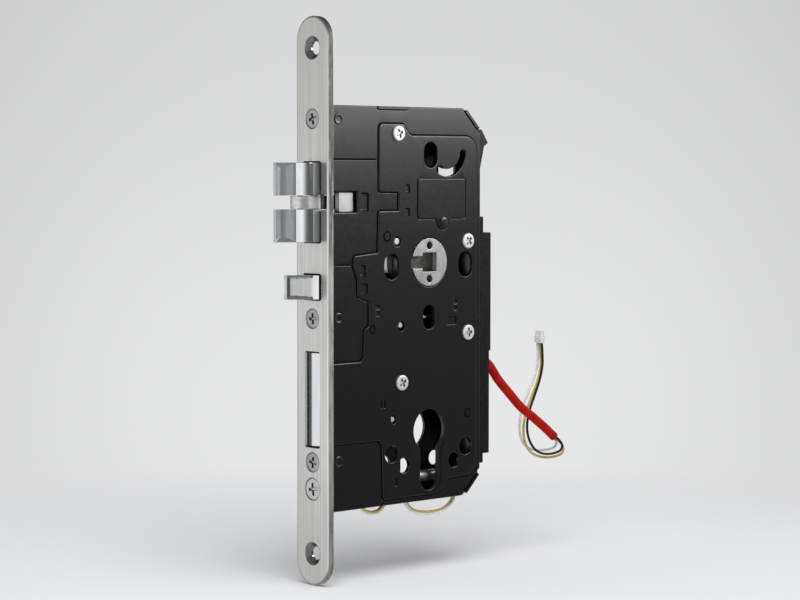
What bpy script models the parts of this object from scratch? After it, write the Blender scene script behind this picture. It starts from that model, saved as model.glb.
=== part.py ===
"""Self-locking mortise lock case with a monitored dead bolt, built piece by piece.

The origin is the middle of the faceplate's back, which seats on the edge of the door.
X runs across the door, with the cover at +X. Y runs into the door. Z is up. Metres.
"""

from math import asin, atan2, cos, hypot, pi, radians, sin, sqrt

import bmesh
import bpy
from mathutils import Matrix, Vector

MM = 0.001

# Clearances
CLEAR = 0.3 * MM
RUN = 0.45 * MM
PLAY = 0.6 * MM

# Faceplate
FACEPLATE_HEIGHT = 235 * MM
FACEPLATE_WIDTH = 20 * MM
FACEPLATE_THICK = 3 * MM
FIXING_INSET = 13.1 * MM
FIXING_HOLE = 5.5 * MM
FIXING_SINK = 9.5 * MM
OPENING_CORNER = 0.8 * MM

# Case
CASE_THICK = 13 * MM
SHEET = 1.2 * MM
PANEL_RAISE = 0.6 * MM
PANEL_EDGE = 2.6 * MM
PANEL_FOOT = 2.6 * MM
CASE_TOP = 81 * MM
CASE_BOTTOM = -87.2 * MM
CASE_BEHIND = 31.3 * MM
CASE_CHAMFER = 9.2 * MM
TENON_FRONT = 27.9 * MM
TENON_LENGTH = 16.6 * MM
TENON_PROUD = 0.4 * MM
RIB_INSET = 0.85 * MM
WINDOW_DEPTH = 16.2 * MM
WINDOW_HEIGHT = 8.7 * MM
WIRE_NOTCH_LENGTH = 5 * MM
WIRE_NOTCH_DEPTH = 4 * MM
WIRE_NOTCHES = (21.6 * MM, 34.8 * MM, 46.6 * MM, 75.6 * MM)

# Follower, spindle and cylinder
BACKSET = 60 * MM
FOLLOWER_Z = 15 * MM
CENTRES = 72 * MM
FOLLOWER_DIAMETER = 20.5 * MM
FOLLOWER_PROUD = 0.2 * MM
FOLLOWER_SLOT_HEIGHT = 5.3 * MM
FOLLOWER_SLOT_DEPTH = 2.5 * MM
FOLLOWER_PIN_HOLE = 3.2 * MM
FOLLOWER_PIN_OFFSET = 7.1 * MM
SPINDLE = 8 * MM
CYLINDER_ROUND = 18 * MM
CYLINDER_SLOT = 10.6 * MM
CYLINDER_DROP = 25.8 * MM

# Follower arm and its return spring
ARM_RADIUS = 25 * MM
ARM_TIP = 2.5 * MM
ARM_RING = 3 * MM
ARM_ROOT = 4.5 * MM
ARM_THICK = 3.6 * MM
ARM_SWING = 40
RETURN_WIRE = 0.8 * MM
RETURN_GAP = 1.4 * MM
RETURN_LIFT = 1.5 * MM
RETURN_LEG = 12 * MM
RETURN_START = 20
RETURN_SWEEP = 580

# Holes in both side plates: handle fixings, escutcheon fixings and the lower oval
HANDLE_OFFSET = 21.7 * MM
HANDLE_DROP = 1.4 * MM
HANDLE_WIDTH = 8.5 * MM
HANDLE_HEIGHT = 11 * MM
OUTER_OFFSET = 21.9 * MM
OUTER_DROP = 8.6 * MM
OUTER_HOLE = 7.5 * MM
INNER_OFFSET = 14.8 * MM
INNER_DROP = 14.1 * MM
INNER_HOLE = 6.5 * MM
OVAL_DROP = 23.5 * MM
OVAL_WIDTH = 7.1 * MM
OVAL_HEIGHT = 10.4 * MM

# Holes in one plate only
TOP_SLOT = (57.8 * MM, 60.65 * MM)
TOP_SLOT_WIDTH = 7.8 * MM
TOP_SLOT_HEIGHT = 11 * MM
ARC_CENTRE = (67.7 * MM, 62.1 * MM)
ARC_RADIUS = 9.45 * MM
ARC_WIDTH = 3.2 * MM
ARC_START = 240
ARC_END = 354
FAR_WINDOW = (79.3 * MM, 54 * MM)
FAR_WINDOW_SIZE = (10 * MM, 8 * MM)
FAR_WINDOW_CORNER = 2 * MM
SIGHT_HOLE = (40.8 * MM, -11.8 * MM)
SIGHT_DIAMETER = 4.2 * MM
SETTING_HOLE = (38.5 * MM, 24.2 * MM)
SETTING_DIAMETER = 4.4 * MM
SMALL_OVAL = (36.4 * MM, -51 * MM)
SMALL_OVAL_WIDTH = 3 * MM
SMALL_OVAL_HEIGHT = 4 * MM

# Access plate
ACCESS_FRONT = 50.3 * MM
ACCESS_WIDTH = 28 * MM
ACCESS_BOTTOM = 33.6 * MM
ACCESS_HEIGHT = 17.7 * MM
ACCESS_THICK = 0.5 * MM
ACCESS_LOBE = 3.2 * MM
ACCESS_CORNER = 1 * MM
ACCESS_RIVET = (65.1 * MM, 32.1 * MM)
ACCESS_RIVET_HEAD = 4.4 * MM
ACCESS_RIVET_CROWN = 3.1 * MM
ACCESS_RIVET_SHANK = 2 * MM
ACCESS_RIVET_RISE = 0.6 * MM

# Screws and posts
SCREW_LEVELS = {"upper": 75.3 * MM, "middle": -7 * MM, "lower": -66.5 * MM}
SCREW_SHANK = 4 * MM
SCREW_HEAD = 7.6 * MM
SCREW_LENGTH = 12.5 * MM
POST_Y = 5.7 * MM
POST_DIAMETER = 7 * MM
POST_NECK = 4 * MM
CYLINDER_SCREW_DROP = 20.6 * MM
CYLINDER_SCREW_SHANK = 5 * MM
CYLINDER_SCREW_HEAD = 9.2 * MM
CYLINDER_SCREW_LENGTH = 70 * MM
COVER_SCREWS = {
    "top": (38.9 * MM, 69.7 * MM),
    "rear_upper": (BACKSET + 20 * MM, 23.6 * MM),
    "rear_lower": (BACKSET + 20.1 * MM, -16.1 * MM),
    "front": (40.9 * MM, -35.7 * MM),
}
COVER_SCREW_SHANK = 2.8 * MM
COVER_SCREW_HEAD = 6.2 * MM
COVER_SCREW_CROWN = 5 * MM
COVER_SCREW_RISE = 1.4 * MM
COVER_SCREW_LENGTH = 9 * MM
COVER_POST = 6 * MM
COVER_POST_NECK = 3.4 * MM
RECESS_DEPTH = 1.2 * MM
RECESS_SPAN = 0.56
RECESS_ARM = 0.9 * MM

# Latch and friction lever
LATCH_Z = 41 * MM
LATCH_HEIGHT = 32.6 * MM
LATCH_WIDTH = 10 * MM
LATCH_THROW = 16.7 * MM
LATCH_NOSE = 1.8 * MM
LATCH_BULGE_X = 1.6 * MM
LATCH_BULGE_OUT = 8.7 * MM
LATCH_SIDE_OUT = 2.85 * MM
LATCH_SCOOP = 1.2 * MM
LATCH_BULGE = 0.9 * MM
LATCH_REAR = 10 * MM
CLAW_GAP = 5.7 * MM
LEVER_NOSE = 5 * MM
LEVER_OUT = 10.2 * MM
LEVER_ARM = 6.4 * MM
LEVER_ROOT = 5 * MM
LEVER_PIN = 3 * MM
LEVER_PIN_LENGTH = 18 * MM
LEVER_NOTCH_WIDTH = 18 * MM
LEVER_NOTCH_HEIGHT = 6.4 * MM
TAIL_THICK = 2.8 * MM
TAIL_HEIGHT = 10 * MM
TAIL_GRIP = 5 * MM
TAIL_LUG = 4.2 * MM
LATCH_SPRING_INSET = 6.8 * MM
LATCH_SPRING_RADIUS = 3 * MM
LATCH_SPRING_TURNS = 7
LATCH_SEAT_Y = 39 * MM
SEAT_THICK = 2 * MM
SPRING_WIRE = 0.8 * MM

# Control latch
CONTROL_Z = 6.1 * MM
CONTROL_HEIGHT = 10 * MM
CONTROL_WIDTH = 10 * MM
CONTROL_THROW = 11 * MM
CONTROL_NOSE = 1.6 * MM
CONTROL_SIDE_OUT = 0.8 * MM
CONTROL_REAR = 9 * MM
CONTROL_ROD = 4 * MM
CONTROL_ROD_DROP = 0.7 * MM
CONTROL_ROD_GRIP = 4 * MM
CONTROL_SEAT_Y = 27 * MM
CONTROL_SPRING_RADIUS = 3.2 * MM
CONTROL_SPRING_TURNS = 5

# Dead bolt
BOLT_Z = -40.5 * MM
BOLT_HEIGHT = 38.9 * MM
BOLT_WIDTH = 8.4 * MM
BOLT_RECESS = 0.6 * MM
BOLT_LENGTH = 36.4 * MM
BOLT_THROW = 20 * MM
BOLT_RAMP_RISE = 2.5 * MM
BOLT_TAIL_THICK = 3 * MM
BOLT_TAIL_HEIGHT = 18 * MM
BOLT_TAIL_GRIP = 8 * MM
BOLT_TAIL_END = 6 * MM
BOLT_RIVET = 3 * MM
BOLT_RIVET_SPREAD = 10 * MM
CAM_NOTCH_WIDTH = 8 * MM
CAM_NOTCH_DEPTH = 4 * MM

# Key lever
KEY_PIVOT = (BACKSET + 16 * MM, -30 * MM)
KEY_BOSS = 4.5 * MM
KEY_PIN = 3.4 * MM
KEY_PIN_HEAD = 6 * MM
KEY_THICK = 2.6 * MM
KEY_REACH = 30 * MM
KEY_LOW = -40.5 * MM
KEY_TIP_TOP = -33 * MM
KEY_SPRING_Y = 50 * MM
KEY_SPRING_TOP = -21 * MM
KEY_SPRING_RADIUS = 1.3 * MM
KEY_SPRING_WIRE = 0.5 * MM
KEY_SPRING_TURNS = 5

# Microswitch
SWITCH_FRONT = 11.5 * MM
SWITCH_LENGTH = 13.3 * MM
SWITCH_HEIGHT = 6.3 * MM
SWITCH_WIDTH = 6 * MM
SWITCH_DROP = 7.75 * MM
LEAF_REACH = 11 * MM
LEAF_RISE = 5.9 * MM
LEAF_THICK = 0.6 * MM
LEAF_WIDTH = 4 * MM
LEAF_PIVOT_RISE = 1 * MM

# Rear cable duct, clip and grommet
DUCT_BASE_WIDTH = 12 * MM
DUCT_BASE_THICK = 2 * MM
DUCT_BASE_TOP = 34 * MM
DUCT_BASE_BOTTOM = -74 * MM
DUCT_WIDTH = 11 * MM
DUCT_DEPTH = 4.9 * MM
DUCT_STEP = 0.8 * MM
DUCT_STEP_Z = -25 * MM
DUCT_TOP = 27 * MM
DUCT_BOTTOM = -70 * MM
DUCT_WALL = 1.2 * MM
CABLE_EXIT_Z = -29.8 * MM
GROMMET_DIAMETER = 7.6 * MM
GROMMET_BORE = 5 * MM
GROMMET_RISE = 1.6 * MM
CLIP_TOP = 72 * MM
CLIP_HEIGHT = 17.7 * MM
CLIP_DEPTH = 6 * MM
CLIP_LIP = 1 * MM
CLIP_CREST = 2 * MM
CLIP_BARB_DROP = 5.9 * MM
CLIP_HOLLOW_DEPTH = 3.6 * MM
CLIP_HOLLOW_DROP = 1.5 * MM
CLIP_WIDTH = 10 * MM

# Cable
SLEEVE_DIAMETER = 4 * MM
WIRE_DIAMETER = 1.1 * MM
HARNESS_DIAMETER = 2 * MM
CONNECTOR_SIZE = (4.6 * MM, 2.6 * MM, 5.5 * MM)

# Worked out from the sizes above
FLOOR_OUT = -CASE_THICK / 2
FLOOR_IN = FLOOR_OUT + SHEET
COVER_OUT = CASE_THICK / 2
COVER_IN = COVER_OUT - SHEET
PANEL_OUT = COVER_OUT + PANEL_RAISE
WALL_TOP = COVER_IN - CLEAR
INNER_LOW = FLOOR_IN + CLEAR
CASE_FRONT = CLEAR
FRONT_IN = CASE_FRONT + SHEET
PLATE_FRONT = -FACEPLATE_THICK
FOLLOWER_Y = BACKSET - FACEPLATE_THICK
CASE_REAR = FOLLOWER_Y + CASE_BEHIND
CYLINDER_Z = FOLLOWER_Z - CENTRES
CYLINDER_SCREW_Z = CYLINDER_Z - CYLINDER_SCREW_DROP
LEVER_PIVOT_Y = PLATE_FRONT - LEVER_OUT + LEVER_NOSE + LEVER_ARM
TAIL_LOW = INNER_LOW + CLEAR
TAIL_HIGH = TAIL_LOW + TAIL_THICK
ARM_LOW = TAIL_HIGH + PLAY
ARM_HIGH = ARM_LOW + ARM_THICK
LATCH_SPRING_Z = LATCH_Z + LATCH_HEIGHT / 2 - LATCH_SPRING_INSET
CONTROL_ROD_Z = CONTROL_Z - CONTROL_ROD_DROP
BOLT_FRONT = PLATE_FRONT + BOLT_RECESS
BOLT_REAR = BOLT_FRONT + BOLT_LENGTH
BOLT_TAIL_Z = COVER_SCREWS["front"][1]
DUCT_BASE_REAR = CASE_REAR + CLEAR + DUCT_BASE_THICK
DUCT_FRONT = DUCT_BASE_REAR + CLEAR
DUCT_REAR = DUCT_FRONT + DUCT_DEPTH


def circle(centre, radius, steps=20):
    """Outline points of a full circle in a plane."""
    a, b = centre
    turns = [2 * pi * step / steps for step in range(steps)]
    return [(a + radius * cos(turn), b + radius * sin(turn)) for turn in turns]


def arc(centre, radius, start, end, steps):
    """Points of an arc from start to end in degrees, both ends included."""
    a, b = centre
    turns = [radians(start + (end - start) * step / steps) for step in range(steps + 1)]
    return [(a + radius * cos(turn), b + radius * sin(turn)) for turn in turns]


def bowed(start, end, sagitta, steps):
    """Points of a parabola from start to end that bows to its left by the sagitta, without the start."""
    run, rise = end[0] - start[0], end[1] - start[1]
    length = hypot(run, rise)
    points = []
    for step in range(1, steps + 1):
        share = step / steps
        bow = 4 * sagitta * share * (1 - share) / length
        points.append((start[0] + run * share - rise * bow, start[1] + rise * share + run * bow))
    return points


def rectangle(low, high):
    """Outline points of an upright rectangle."""
    return [low, (high[0], low[1]), high, (low[0], high[1])]


def rounded(corners, steps=4):
    """Outline through corners (a, b, radius), each turned by an arc of its radius."""
    points = []
    for index, (a, b, radius) in enumerate(corners):
        corner = Vector((a, b))
        back = Vector(corners[index - 1][:2]) - corner
        ahead = Vector(corners[(index + 1) % len(corners)][:2]) - corner
        if radius == 0:
            points.append((a, b))
            continue
        half = back.angle(ahead) / 2
        inset = radius * cos(half) / sin(half)
        first = corner + back.normalized() * inset
        middle = corner + (back.normalized() + ahead.normalized()).normalized() * (radius / sin(half))
        last = corner + ahead.normalized() * inset
        start = atan2(*(first - middle).yx)
        sweep = (atan2(*(last - middle).yx) - start + pi) % (2 * pi) - pi
        for step in range(steps + 1):
            turn = start + sweep * step / steps
            points.append((middle.x + radius * cos(turn), middle.y + radius * sin(turn)))
    return points


def rounded_rectangle(centre, width, height, radius, steps=3):
    """Outline of a rectangle about a centre with rounded corners."""
    left, right = centre[0] - width / 2, centre[0] + width / 2
    low, high = centre[1] - height / 2, centre[1] + height / 2
    corners = [(left, low, radius), (right, low, radius), (right, high, radius), (left, high, radius)]
    return rounded(corners, steps)


def upright_slot(centre, width, height, steps=8):
    """Outline of an upright slot with half-round ends."""
    radius = width / 2
    reach = height / 2 - radius
    top = arc((centre[0], centre[1] + reach), radius, 0, 180, steps)
    return top + arc((centre[0], centre[1] - reach), radius, 180, 360, steps)


def cylinder_outline():
    """Profile-cylinder cut-out: a round head with a round-ended leg below it."""
    radius = CYLINDER_ROUND / 2
    leg = CYLINDER_SLOT / 2
    meet = asin(leg / radius) * 180 / pi
    head = arc((FOLLOWER_Y, CYLINDER_Z), radius, meet - 90, 270 - meet, 28)
    foot_z = CYLINDER_Z - CYLINDER_DROP + leg
    return head + arc((FOLLOWER_Y, foot_z), leg, 180, 360, 12)


def arc_slot():
    """Curved slot with round ends around its centre."""
    outer = arc(ARC_CENTRE, ARC_RADIUS + ARC_WIDTH / 2, ARC_START, ARC_END, 16)
    inner = arc(ARC_CENTRE, ARC_RADIUS - ARC_WIDTH / 2, ARC_END, ARC_START, 16)
    ends = []
    for turn, first in ((ARC_END, ARC_END), (ARC_START, ARC_START + 180)):
        middle = arc(ARC_CENTRE, ARC_RADIUS, turn, turn, 1)[0]
        ends.append(arc(middle, ARC_WIDTH / 2, first, first + 180, 6)[1:-1])
    return outer + ends[0] + inner + ends[1]


def cross_outline(centre, span, arm):
    """Outline of a plus sign, as a cross recess has."""
    a, b = centre
    s, t = span / 2, arm / 2
    quarter = [(s, t), (t, t), (t, s)]
    points = []
    for turn in range(4):
        c, d = round(cos(turn * pi / 2)), round(sin(turn * pi / 2))
        points += [(a + c * u - d * v, b + d * u + c * v) for u, v in quarter]
    return points


def lift(axis, along, a, b):
    """Point whose coordinate along the axis and two other coordinates, in order, are given."""
    return {"x": (along, a, b), "y": (a, along, b), "z": (a, b, along)}[axis]


def prism(axis, low, high, outline, *holes):
    """Closed prism along an axis over an outline with holes."""
    shape = bmesh.new()
    rims = {low: [], high: []}
    for loop in (outline, *holes):
        rings = {}
        for level in (low, high):
            ring = [shape.verts.new(lift(axis, level, a, b)) for a, b in loop]
            rims[level] += [shape.edges.new((ring[i - 1], ring[i])) for i in range(len(ring))]
            rings[level] = ring
        for i in range(len(loop)):
            shape.faces.new((rings[low][i - 1], rings[low][i], rings[high][i], rings[high][i - 1]))
    for level in (low, high):
        normal = Vector(lift(axis, 1.0, 0.0, 0.0))
        bmesh.ops.triangle_fill(shape, use_beauty=True, edges=rims[level], normal=normal)
    bmesh.ops.recalc_face_normals(shape, faces=shape.faces)
    return shape


def box(low, high):
    """Closed box between two corners."""
    return prism("x", low[0], high[0], rectangle(low[1:], high[1:]))


def turned(axis, centre, profile, steps=18):
    """Body turned about an axis through a centre from a profile of (along, radius), with end discs."""
    shape = bmesh.new()
    rings = []
    for along, radius in profile:
        spots = circle(centre, radius, steps)
        rings.append([shape.verts.new(lift(axis, along, a, b)) for a, b in spots])
    for ring, following in zip(rings, rings[1:]):
        for i in range(steps):
            shape.faces.new((ring[i - 1], ring[i], following[i], following[i - 1]))
    shape.faces.new(rings[0])
    shape.faces.new(rings[-1])
    bmesh.ops.recalc_face_normals(shape, faces=shape.faces)
    return shape


def rod(axis, centre, low, high, diameter, steps=18):
    """Plain round bar along an axis."""
    return turned(axis, centre, [(low, diameter / 2), (high, diameter / 2)], steps)


def smooth_route(points, spacing):
    """Points a spacing apart along a smooth curve through the route's own points."""
    knots = [Vector(point) for point in points]
    knots = [2 * knots[0] - knots[1], *knots, 2 * knots[-1] - knots[-2]]
    fine = []
    for p0, p1, p2, p3 in zip(knots, knots[1:], knots[2:], knots[3:]):
        for step in range(12):
            t = step / 12
            bend = (2 * p0 - 5 * p1 + 4 * p2 - p3) * t * t + (3 * p1 - p0 - 3 * p2 + p3) * t ** 3
            fine.append(p1 + ((p2 - p0) * t + bend) / 2)
    fine.append(knots[-2])
    length = sum((after - before).length for before, after in zip(fine, fine[1:]))
    count = max(2, round(length / spacing))
    route, walked, target = [fine[0]], 0.0, length / count
    for before, after in zip(fine, fine[1:]):
        step = (after - before).length
        while walked + step >= target and len(route) < count:
            route.append(before.lerp(after, (target - walked) / step))
            target += length / count
        walked += step
    return route + [fine[-1]]


def coil(axis, centre, low, high, radius, turns, steps=8):
    """Points of a helix along an axis."""
    points = []
    for step in range(turns * steps + 1):
        turn = 2 * pi * step / steps
        along = low + (high - low) * step / (turns * steps)
        spot = (centre[0] + radius * cos(turn), centre[1] + radius * sin(turn))
        points.append(lift(axis, along, *spot))
    return points


def material(name, colour, roughness, metallic):
    """Principled material, made once and found again by its name."""
    made = bpy.data.materials.get(name)
    if made is None:
        made = bpy.data.materials.new(name)
        made.use_nodes = True
        shader = made.node_tree.nodes["Principled BSDF"]
        shader.inputs["Base Color"].default_value = (*colour, 1.0)
        shader.inputs["Roughness"].default_value = roughness
        shader.inputs["Metallic"].default_value = metallic
    return made


def place(name, data, finish, parent):
    """Object in the scene with its finish, kept where it was modelled under its parent."""
    made = bpy.data.objects.new(name, data)
    bpy.context.scene.collection.objects.link(made)
    data.materials.append(finish)
    if parent is not None:
        made.parent = parent
        made.matrix_parent_inverse = Matrix.Translation(parent.location).inverted()
    return made


def mesh_of(name, shapes):
    """One mesh that holds the given shapes."""
    mesh = bpy.data.meshes.new(name)
    whole = bmesh.new()
    for shape in shapes:
        shape.to_mesh(mesh)
        shape.free()
        whole.from_mesh(mesh)
    whole.to_mesh(mesh)
    whole.free()
    mesh.shade_smooth()
    mesh.set_sharp_from_angle(angle=radians(30))
    return mesh


def boolean(target, operation, label, shapes):
    """Boolean of the target with shapes that don't touch each other, kept as a hidden cutter."""
    cutter = bpy.data.objects.new(label, mesh_of(label, shapes))
    bpy.context.scene.collection.objects.link(cutter)
    cutter.hide_render = True
    cutter.display_type = "WIRE"
    modifier = target.modifiers.new(label, "BOOLEAN")
    modifier.operation = operation
    modifier.object = cutter


def part(name, shape, finish, parent=None, joins=(), cuts=()):
    """Named piece: its body, then the bodies joined to it, then the groups of cuts taken from it."""
    made = place(name, mesh_of(name, [shape]), finish, parent)
    for index, joined in enumerate(joins):
        boolean(made, "UNION", f"join_{index}_{name}", [joined])
    for index, group in enumerate(cuts):
        boolean(made, "DIFFERENCE", f"cut_{index}_{name}", group)
    return made


def tube(name, points, diameter, finish, sides=2, parent=None):
    """Round wire or cord along points, with filled ends."""
    curve = bpy.data.curves.new(name, "CURVE")
    curve.dimensions = "3D"
    curve.bevel_depth = diameter / 2
    curve.bevel_resolution = sides
    curve.use_fill_caps = True
    spline = curve.splines.new("POLY")
    spline.points.add(len(points) - 1)
    for spot, point in zip(spline.points, points):
        spot.co = (*point, 1.0)
    return place(name, curve, finish, parent)


def axis_empty(name, spot):
    """Empty on a joint's axis that carries the moving pieces."""
    empty = bpy.data.objects.new(name, None)
    empty.location = spot
    bpy.context.scene.collection.objects.link(empty)
    return empty


def brushed_steel():
    """Satin stainless steel of the faceplate and bolts."""
    return material("brushed_steel", (0.56, 0.56, 0.54), 0.32, 1.0)


def zinc():
    """Bright zinc plate of the screws, posts and inner levers."""
    return material("zinc", (0.66, 0.66, 0.64), 0.35, 1.0)


def black_coat():
    """Black coat of the pressed case."""
    return material("black_coat", (0.012, 0.012, 0.013), 0.38, 0.0)


def black_plastic():
    """Moulded black plastic of the duct, clip and switch."""
    return material("black_plastic", (0.02, 0.02, 0.021), 0.5, 0.0)


def spring_steel():
    """Plain spring wire."""
    return material("spring_steel", (0.4, 0.4, 0.4), 0.35, 1.0)


def latch_opening():
    """Faceplate opening of the latch, with a wider notch for the friction lever."""
    half, reach = LATCH_WIDTH / 2 + RUN, LATCH_HEIGHT / 2 + RUN
    wide, short = LEVER_NOTCH_WIDTH / 2, LEVER_NOTCH_HEIGHT / 2
    turn = OPENING_CORNER
    right = [(half, -reach, turn), (half, -short, 0), (wide, -short, turn)]
    right += [(wide, short, turn), (half, short, 0), (half, reach, turn)]
    left = [(-a, b, radius) for a, b, radius in reversed(right)]
    return rounded([(a, LATCH_Z + b, radius) for a, b, radius in right + left], 3)


def bolt_opening(z, width, height):
    """Opening around a bolt with running room all round."""
    return rounded_rectangle((0.0, z), width + 2 * RUN, height + 2 * RUN, OPENING_CORNER)


def sink(z, head, hole):
    """Conical cutter that sinks a screw head flush in the faceplate's front."""
    wide, narrow = head / 2, hole / 2
    end = PLATE_FRONT + wide - narrow + RUN
    profile = [(PLATE_FRONT - RUN, wide + RUN), (end, narrow - RUN)]
    return turned("y", (0.0, z), profile, 20)


def faceplate():
    """Stainless front with round ends, bolt openings and countersunk holes."""
    outline = upright_slot((0.0, 0.0), FACEPLATE_WIDTH, FACEPLATE_HEIGHT, 24)
    screw_hole = SCREW_SHANK + 2 * CLEAR
    cylinder_hole = CYLINDER_SCREW_SHANK + 2 * CLEAR
    reach = FACEPLATE_HEIGHT / 2 - FIXING_INSET
    fixings = (reach, -reach)
    holes = [
        latch_opening(),
        bolt_opening(CONTROL_Z, CONTROL_WIDTH, CONTROL_HEIGHT),
        bolt_opening(BOLT_Z, BOLT_WIDTH, BOLT_HEIGHT),
        circle((0.0, CYLINDER_SCREW_Z), cylinder_hole / 2),
    ]
    holes += [circle((0.0, z), screw_hole / 2) for z in SCREW_LEVELS.values()]
    holes += [circle((0.0, z), FIXING_HOLE / 2) for z in fixings]
    sinks = [sink(z, SCREW_HEAD + 2 * CLEAR, screw_hole) for z in SCREW_LEVELS.values()]
    sinks += [sink(z, FIXING_SINK, FIXING_HOLE) for z in fixings]
    sinks.append(sink(CYLINDER_SCREW_Z, CYLINDER_SCREW_HEAD + 2 * CLEAR, cylinder_hole))
    part("faceplate", prism("y", PLATE_FRONT, 0.0, outline, *holes), brushed_steel(), cuts=[sinks])


def case_outline(inset=0.0, chamfer=CASE_CHAMFER):
    """Case seen from the side, with its rear corners cut off."""
    front, rear = CASE_FRONT + inset, CASE_REAR - inset
    low, high = CASE_BOTTOM + inset, CASE_TOP - inset
    leg = chamfer - inset * (2 - sqrt(2))
    below = [(front, low), (rear - leg, low), (rear, low + leg)]
    return below + [(rear, high - leg), (rear - leg, high), (front, high)]


def shared_holes():
    """Outlines that pierce both side plates."""
    holes = [
        circle((FOLLOWER_Y, FOLLOWER_Z), FOLLOWER_DIAMETER / 2 + CLEAR, 36),
        cylinder_outline(),
        upright_slot((FOLLOWER_Y, FOLLOWER_Z - OVAL_DROP), OVAL_WIDTH, OVAL_HEIGHT),
        upright_slot(SMALL_OVAL, SMALL_OVAL_WIDTH, SMALL_OVAL_HEIGHT, 5),
    ]
    for side in (-1, 1):
        handle = (FOLLOWER_Y + side * HANDLE_OFFSET, FOLLOWER_Z - HANDLE_DROP)
        holes.append(upright_slot(handle, HANDLE_WIDTH, HANDLE_HEIGHT))
        outer = (FOLLOWER_Y + side * OUTER_OFFSET, CYLINDER_Z - OUTER_DROP)
        holes.append(circle(outer, OUTER_HOLE / 2, 16))
        inner = (FOLLOWER_Y + side * INNER_OFFSET, CYLINDER_Z - INNER_DROP)
        holes.append(circle(inner, INNER_HOLE / 2, 16))
    holes += [circle((POST_Y, z), POST_NECK / 2 + CLEAR, 12) for z in SCREW_LEVELS.values()]
    return holes


def chamfer_tenon(side):
    """Footprint of the rib along a rear chamfer, run out past the wall: 1 is the top, -1 the bottom."""
    edge = CASE_TOP if side > 0 else CASE_BOTTOM
    ends = []
    for inset in (RIB_INSET, CASE_CHAMFER - RIB_INSET):
        ends.append((CASE_REAR - CASE_CHAMFER + inset, edge - side * inset))
    inward, outward = (SHEET + CLEAR) / sqrt(2), SHEET
    inner = [(y - inward, z - side * inward) for y, z in reversed(ends)]
    return [(y + outward, z + side * outward) for y, z in ends] + inner


def rim_cutter():
    """Cutter that lowers the tray's walls to the cover's seat and leaves the ribs beside the cover."""
    margin = 2 * SHEET + CLEAR
    low = (CASE_FRONT - margin, CASE_BOTTOM - margin)
    high = (CASE_REAR + margin, CASE_TOP + margin)
    tenon_low = (TENON_FRONT, CASE_TOP - SHEET - CLEAR)
    tenon = rectangle(tenon_low, (TENON_FRONT + TENON_LENGTH, CASE_TOP + SHEET))
    ribs = (tenon, chamfer_tenon(1), chamfer_tenon(-1))
    return prism("x", WALL_TOP, COVER_OUT + TENON_PROUD + SHEET, rectangle(low, high), *ribs)


def window_cutter():
    """Cutter of the side windows, open to the front, that the friction lever swings through."""
    half = WINDOW_HEIGHT / 2
    low = (FLOOR_OUT - SHEET, CASE_FRONT - SHEET, LATCH_Z - half)
    return box(low, (PANEL_OUT + SHEET, WINDOW_DEPTH, LATCH_Z + half))


def front_cutters():
    """Cutters of the case's front wall: bolt openings and screw holes."""
    low, high = CASE_FRONT - SHEET, FRONT_IN + SHEET / 2
    control = bolt_opening(CONTROL_Z, CONTROL_WIDTH, CONTROL_HEIGHT)
    dead = bolt_opening(BOLT_Z, BOLT_WIDTH, BOLT_HEIGHT)
    latch = bolt_opening(LATCH_Z, LATCH_WIDTH, LATCH_HEIGHT)
    cutters = [prism("y", low, high, outline) for outline in (control, dead, latch)]
    cutters += [rod("y", (0.0, z), low, high, SCREW_SHANK + 2 * CLEAR, 16) for z in SCREW_LEVELS.values()]
    cutters.append(rod("y", (0.0, CYLINDER_SCREW_Z), low, high, CYLINDER_SCREW_SHANK + 2 * CLEAR, 16))
    return cutters


def case_tray():
    """Pressed tray: the far side plate with the walls bent up from it."""
    crest = COVER_OUT + TENON_PROUD
    cavity = prism("x", FLOOR_IN, crest + SHEET, case_outline(SHEET))
    holes = shared_holes()
    holes += [circle(spot, COVER_POST_NECK / 2 + CLEAR, 12) for spot in COVER_SCREWS.values()]
    holes.append(rounded_rectangle(FAR_WINDOW, *FAR_WINDOW_SIZE, FAR_WINDOW_CORNER))
    floor_cuts = [prism("x", FLOOR_OUT - SHEET, FLOOR_IN + SHEET / 2, hole) for hole in holes]
    notches = []
    for y in WIRE_NOTCHES:
        half = WIRE_NOTCH_LENGTH / 2
        low = (WALL_TOP - WIRE_NOTCH_DEPTH, y - half, CASE_BOTTOM - SHEET)
        notches.append(box(low, (WALL_TOP + SHEET, y + half, CASE_BOTTOM + 2 * SHEET)))
    part(
        "case_tray",
        prism("x", FLOOR_OUT, crest, case_outline()),
        black_coat(),
        cuts=[[cavity], [rim_cutter()], floor_cuts + notches, front_cutters(), [window_cutter()]],
    )


def panel_outline():
    """Raised panel pressed into the cover, from its top front corner round by the rear."""
    end, low, front = CASE_REAR / MM, (CASE_BOTTOM + PANEL_FOOT) / MM, (CASE_FRONT + CLEAR) / MM
    rear = (CASE_REAR - PANEL_EDGE) / MM
    corners = [
        (28.1, 73.6, 2), (42, 73.6, 2.4), (46.2, 68.8, 2.4), (rear, 68.8, 7), (rear, -73.2, 5),
        (end - 6.8, -78.2, 4), (end - 20.5, -78.8, 1.5), (end - 22.3, -82.5, 2), (end - 27.8, low, 2),
        (30.6, low, 1.5), (29.9, -61.6, 1), (27.9, -59.3, 1), (front, -59.3, 0), (front, -25.7, 0),
        (17.4, -25.7, 1), (19.5, -23.6, 1), (19.8, -12.4, 1), (22.5, -10.7, 1), (22.5, -0.4, 1),
        (16.2, 1.8, 1), (16, 8.5, 1), (13.6, 14.2, 1), (14, 18.5, 1), (27.5, 19.6, 1),
        (27.9, 37, 0.8), (39.3, 37, 0.8), (39.4, 45, 0.8), (28.1, 45.2, 0.8),
    ]
    return rounded([(y * MM, z * MM, radius * MM) for y, z, radius in corners], 3)


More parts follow.
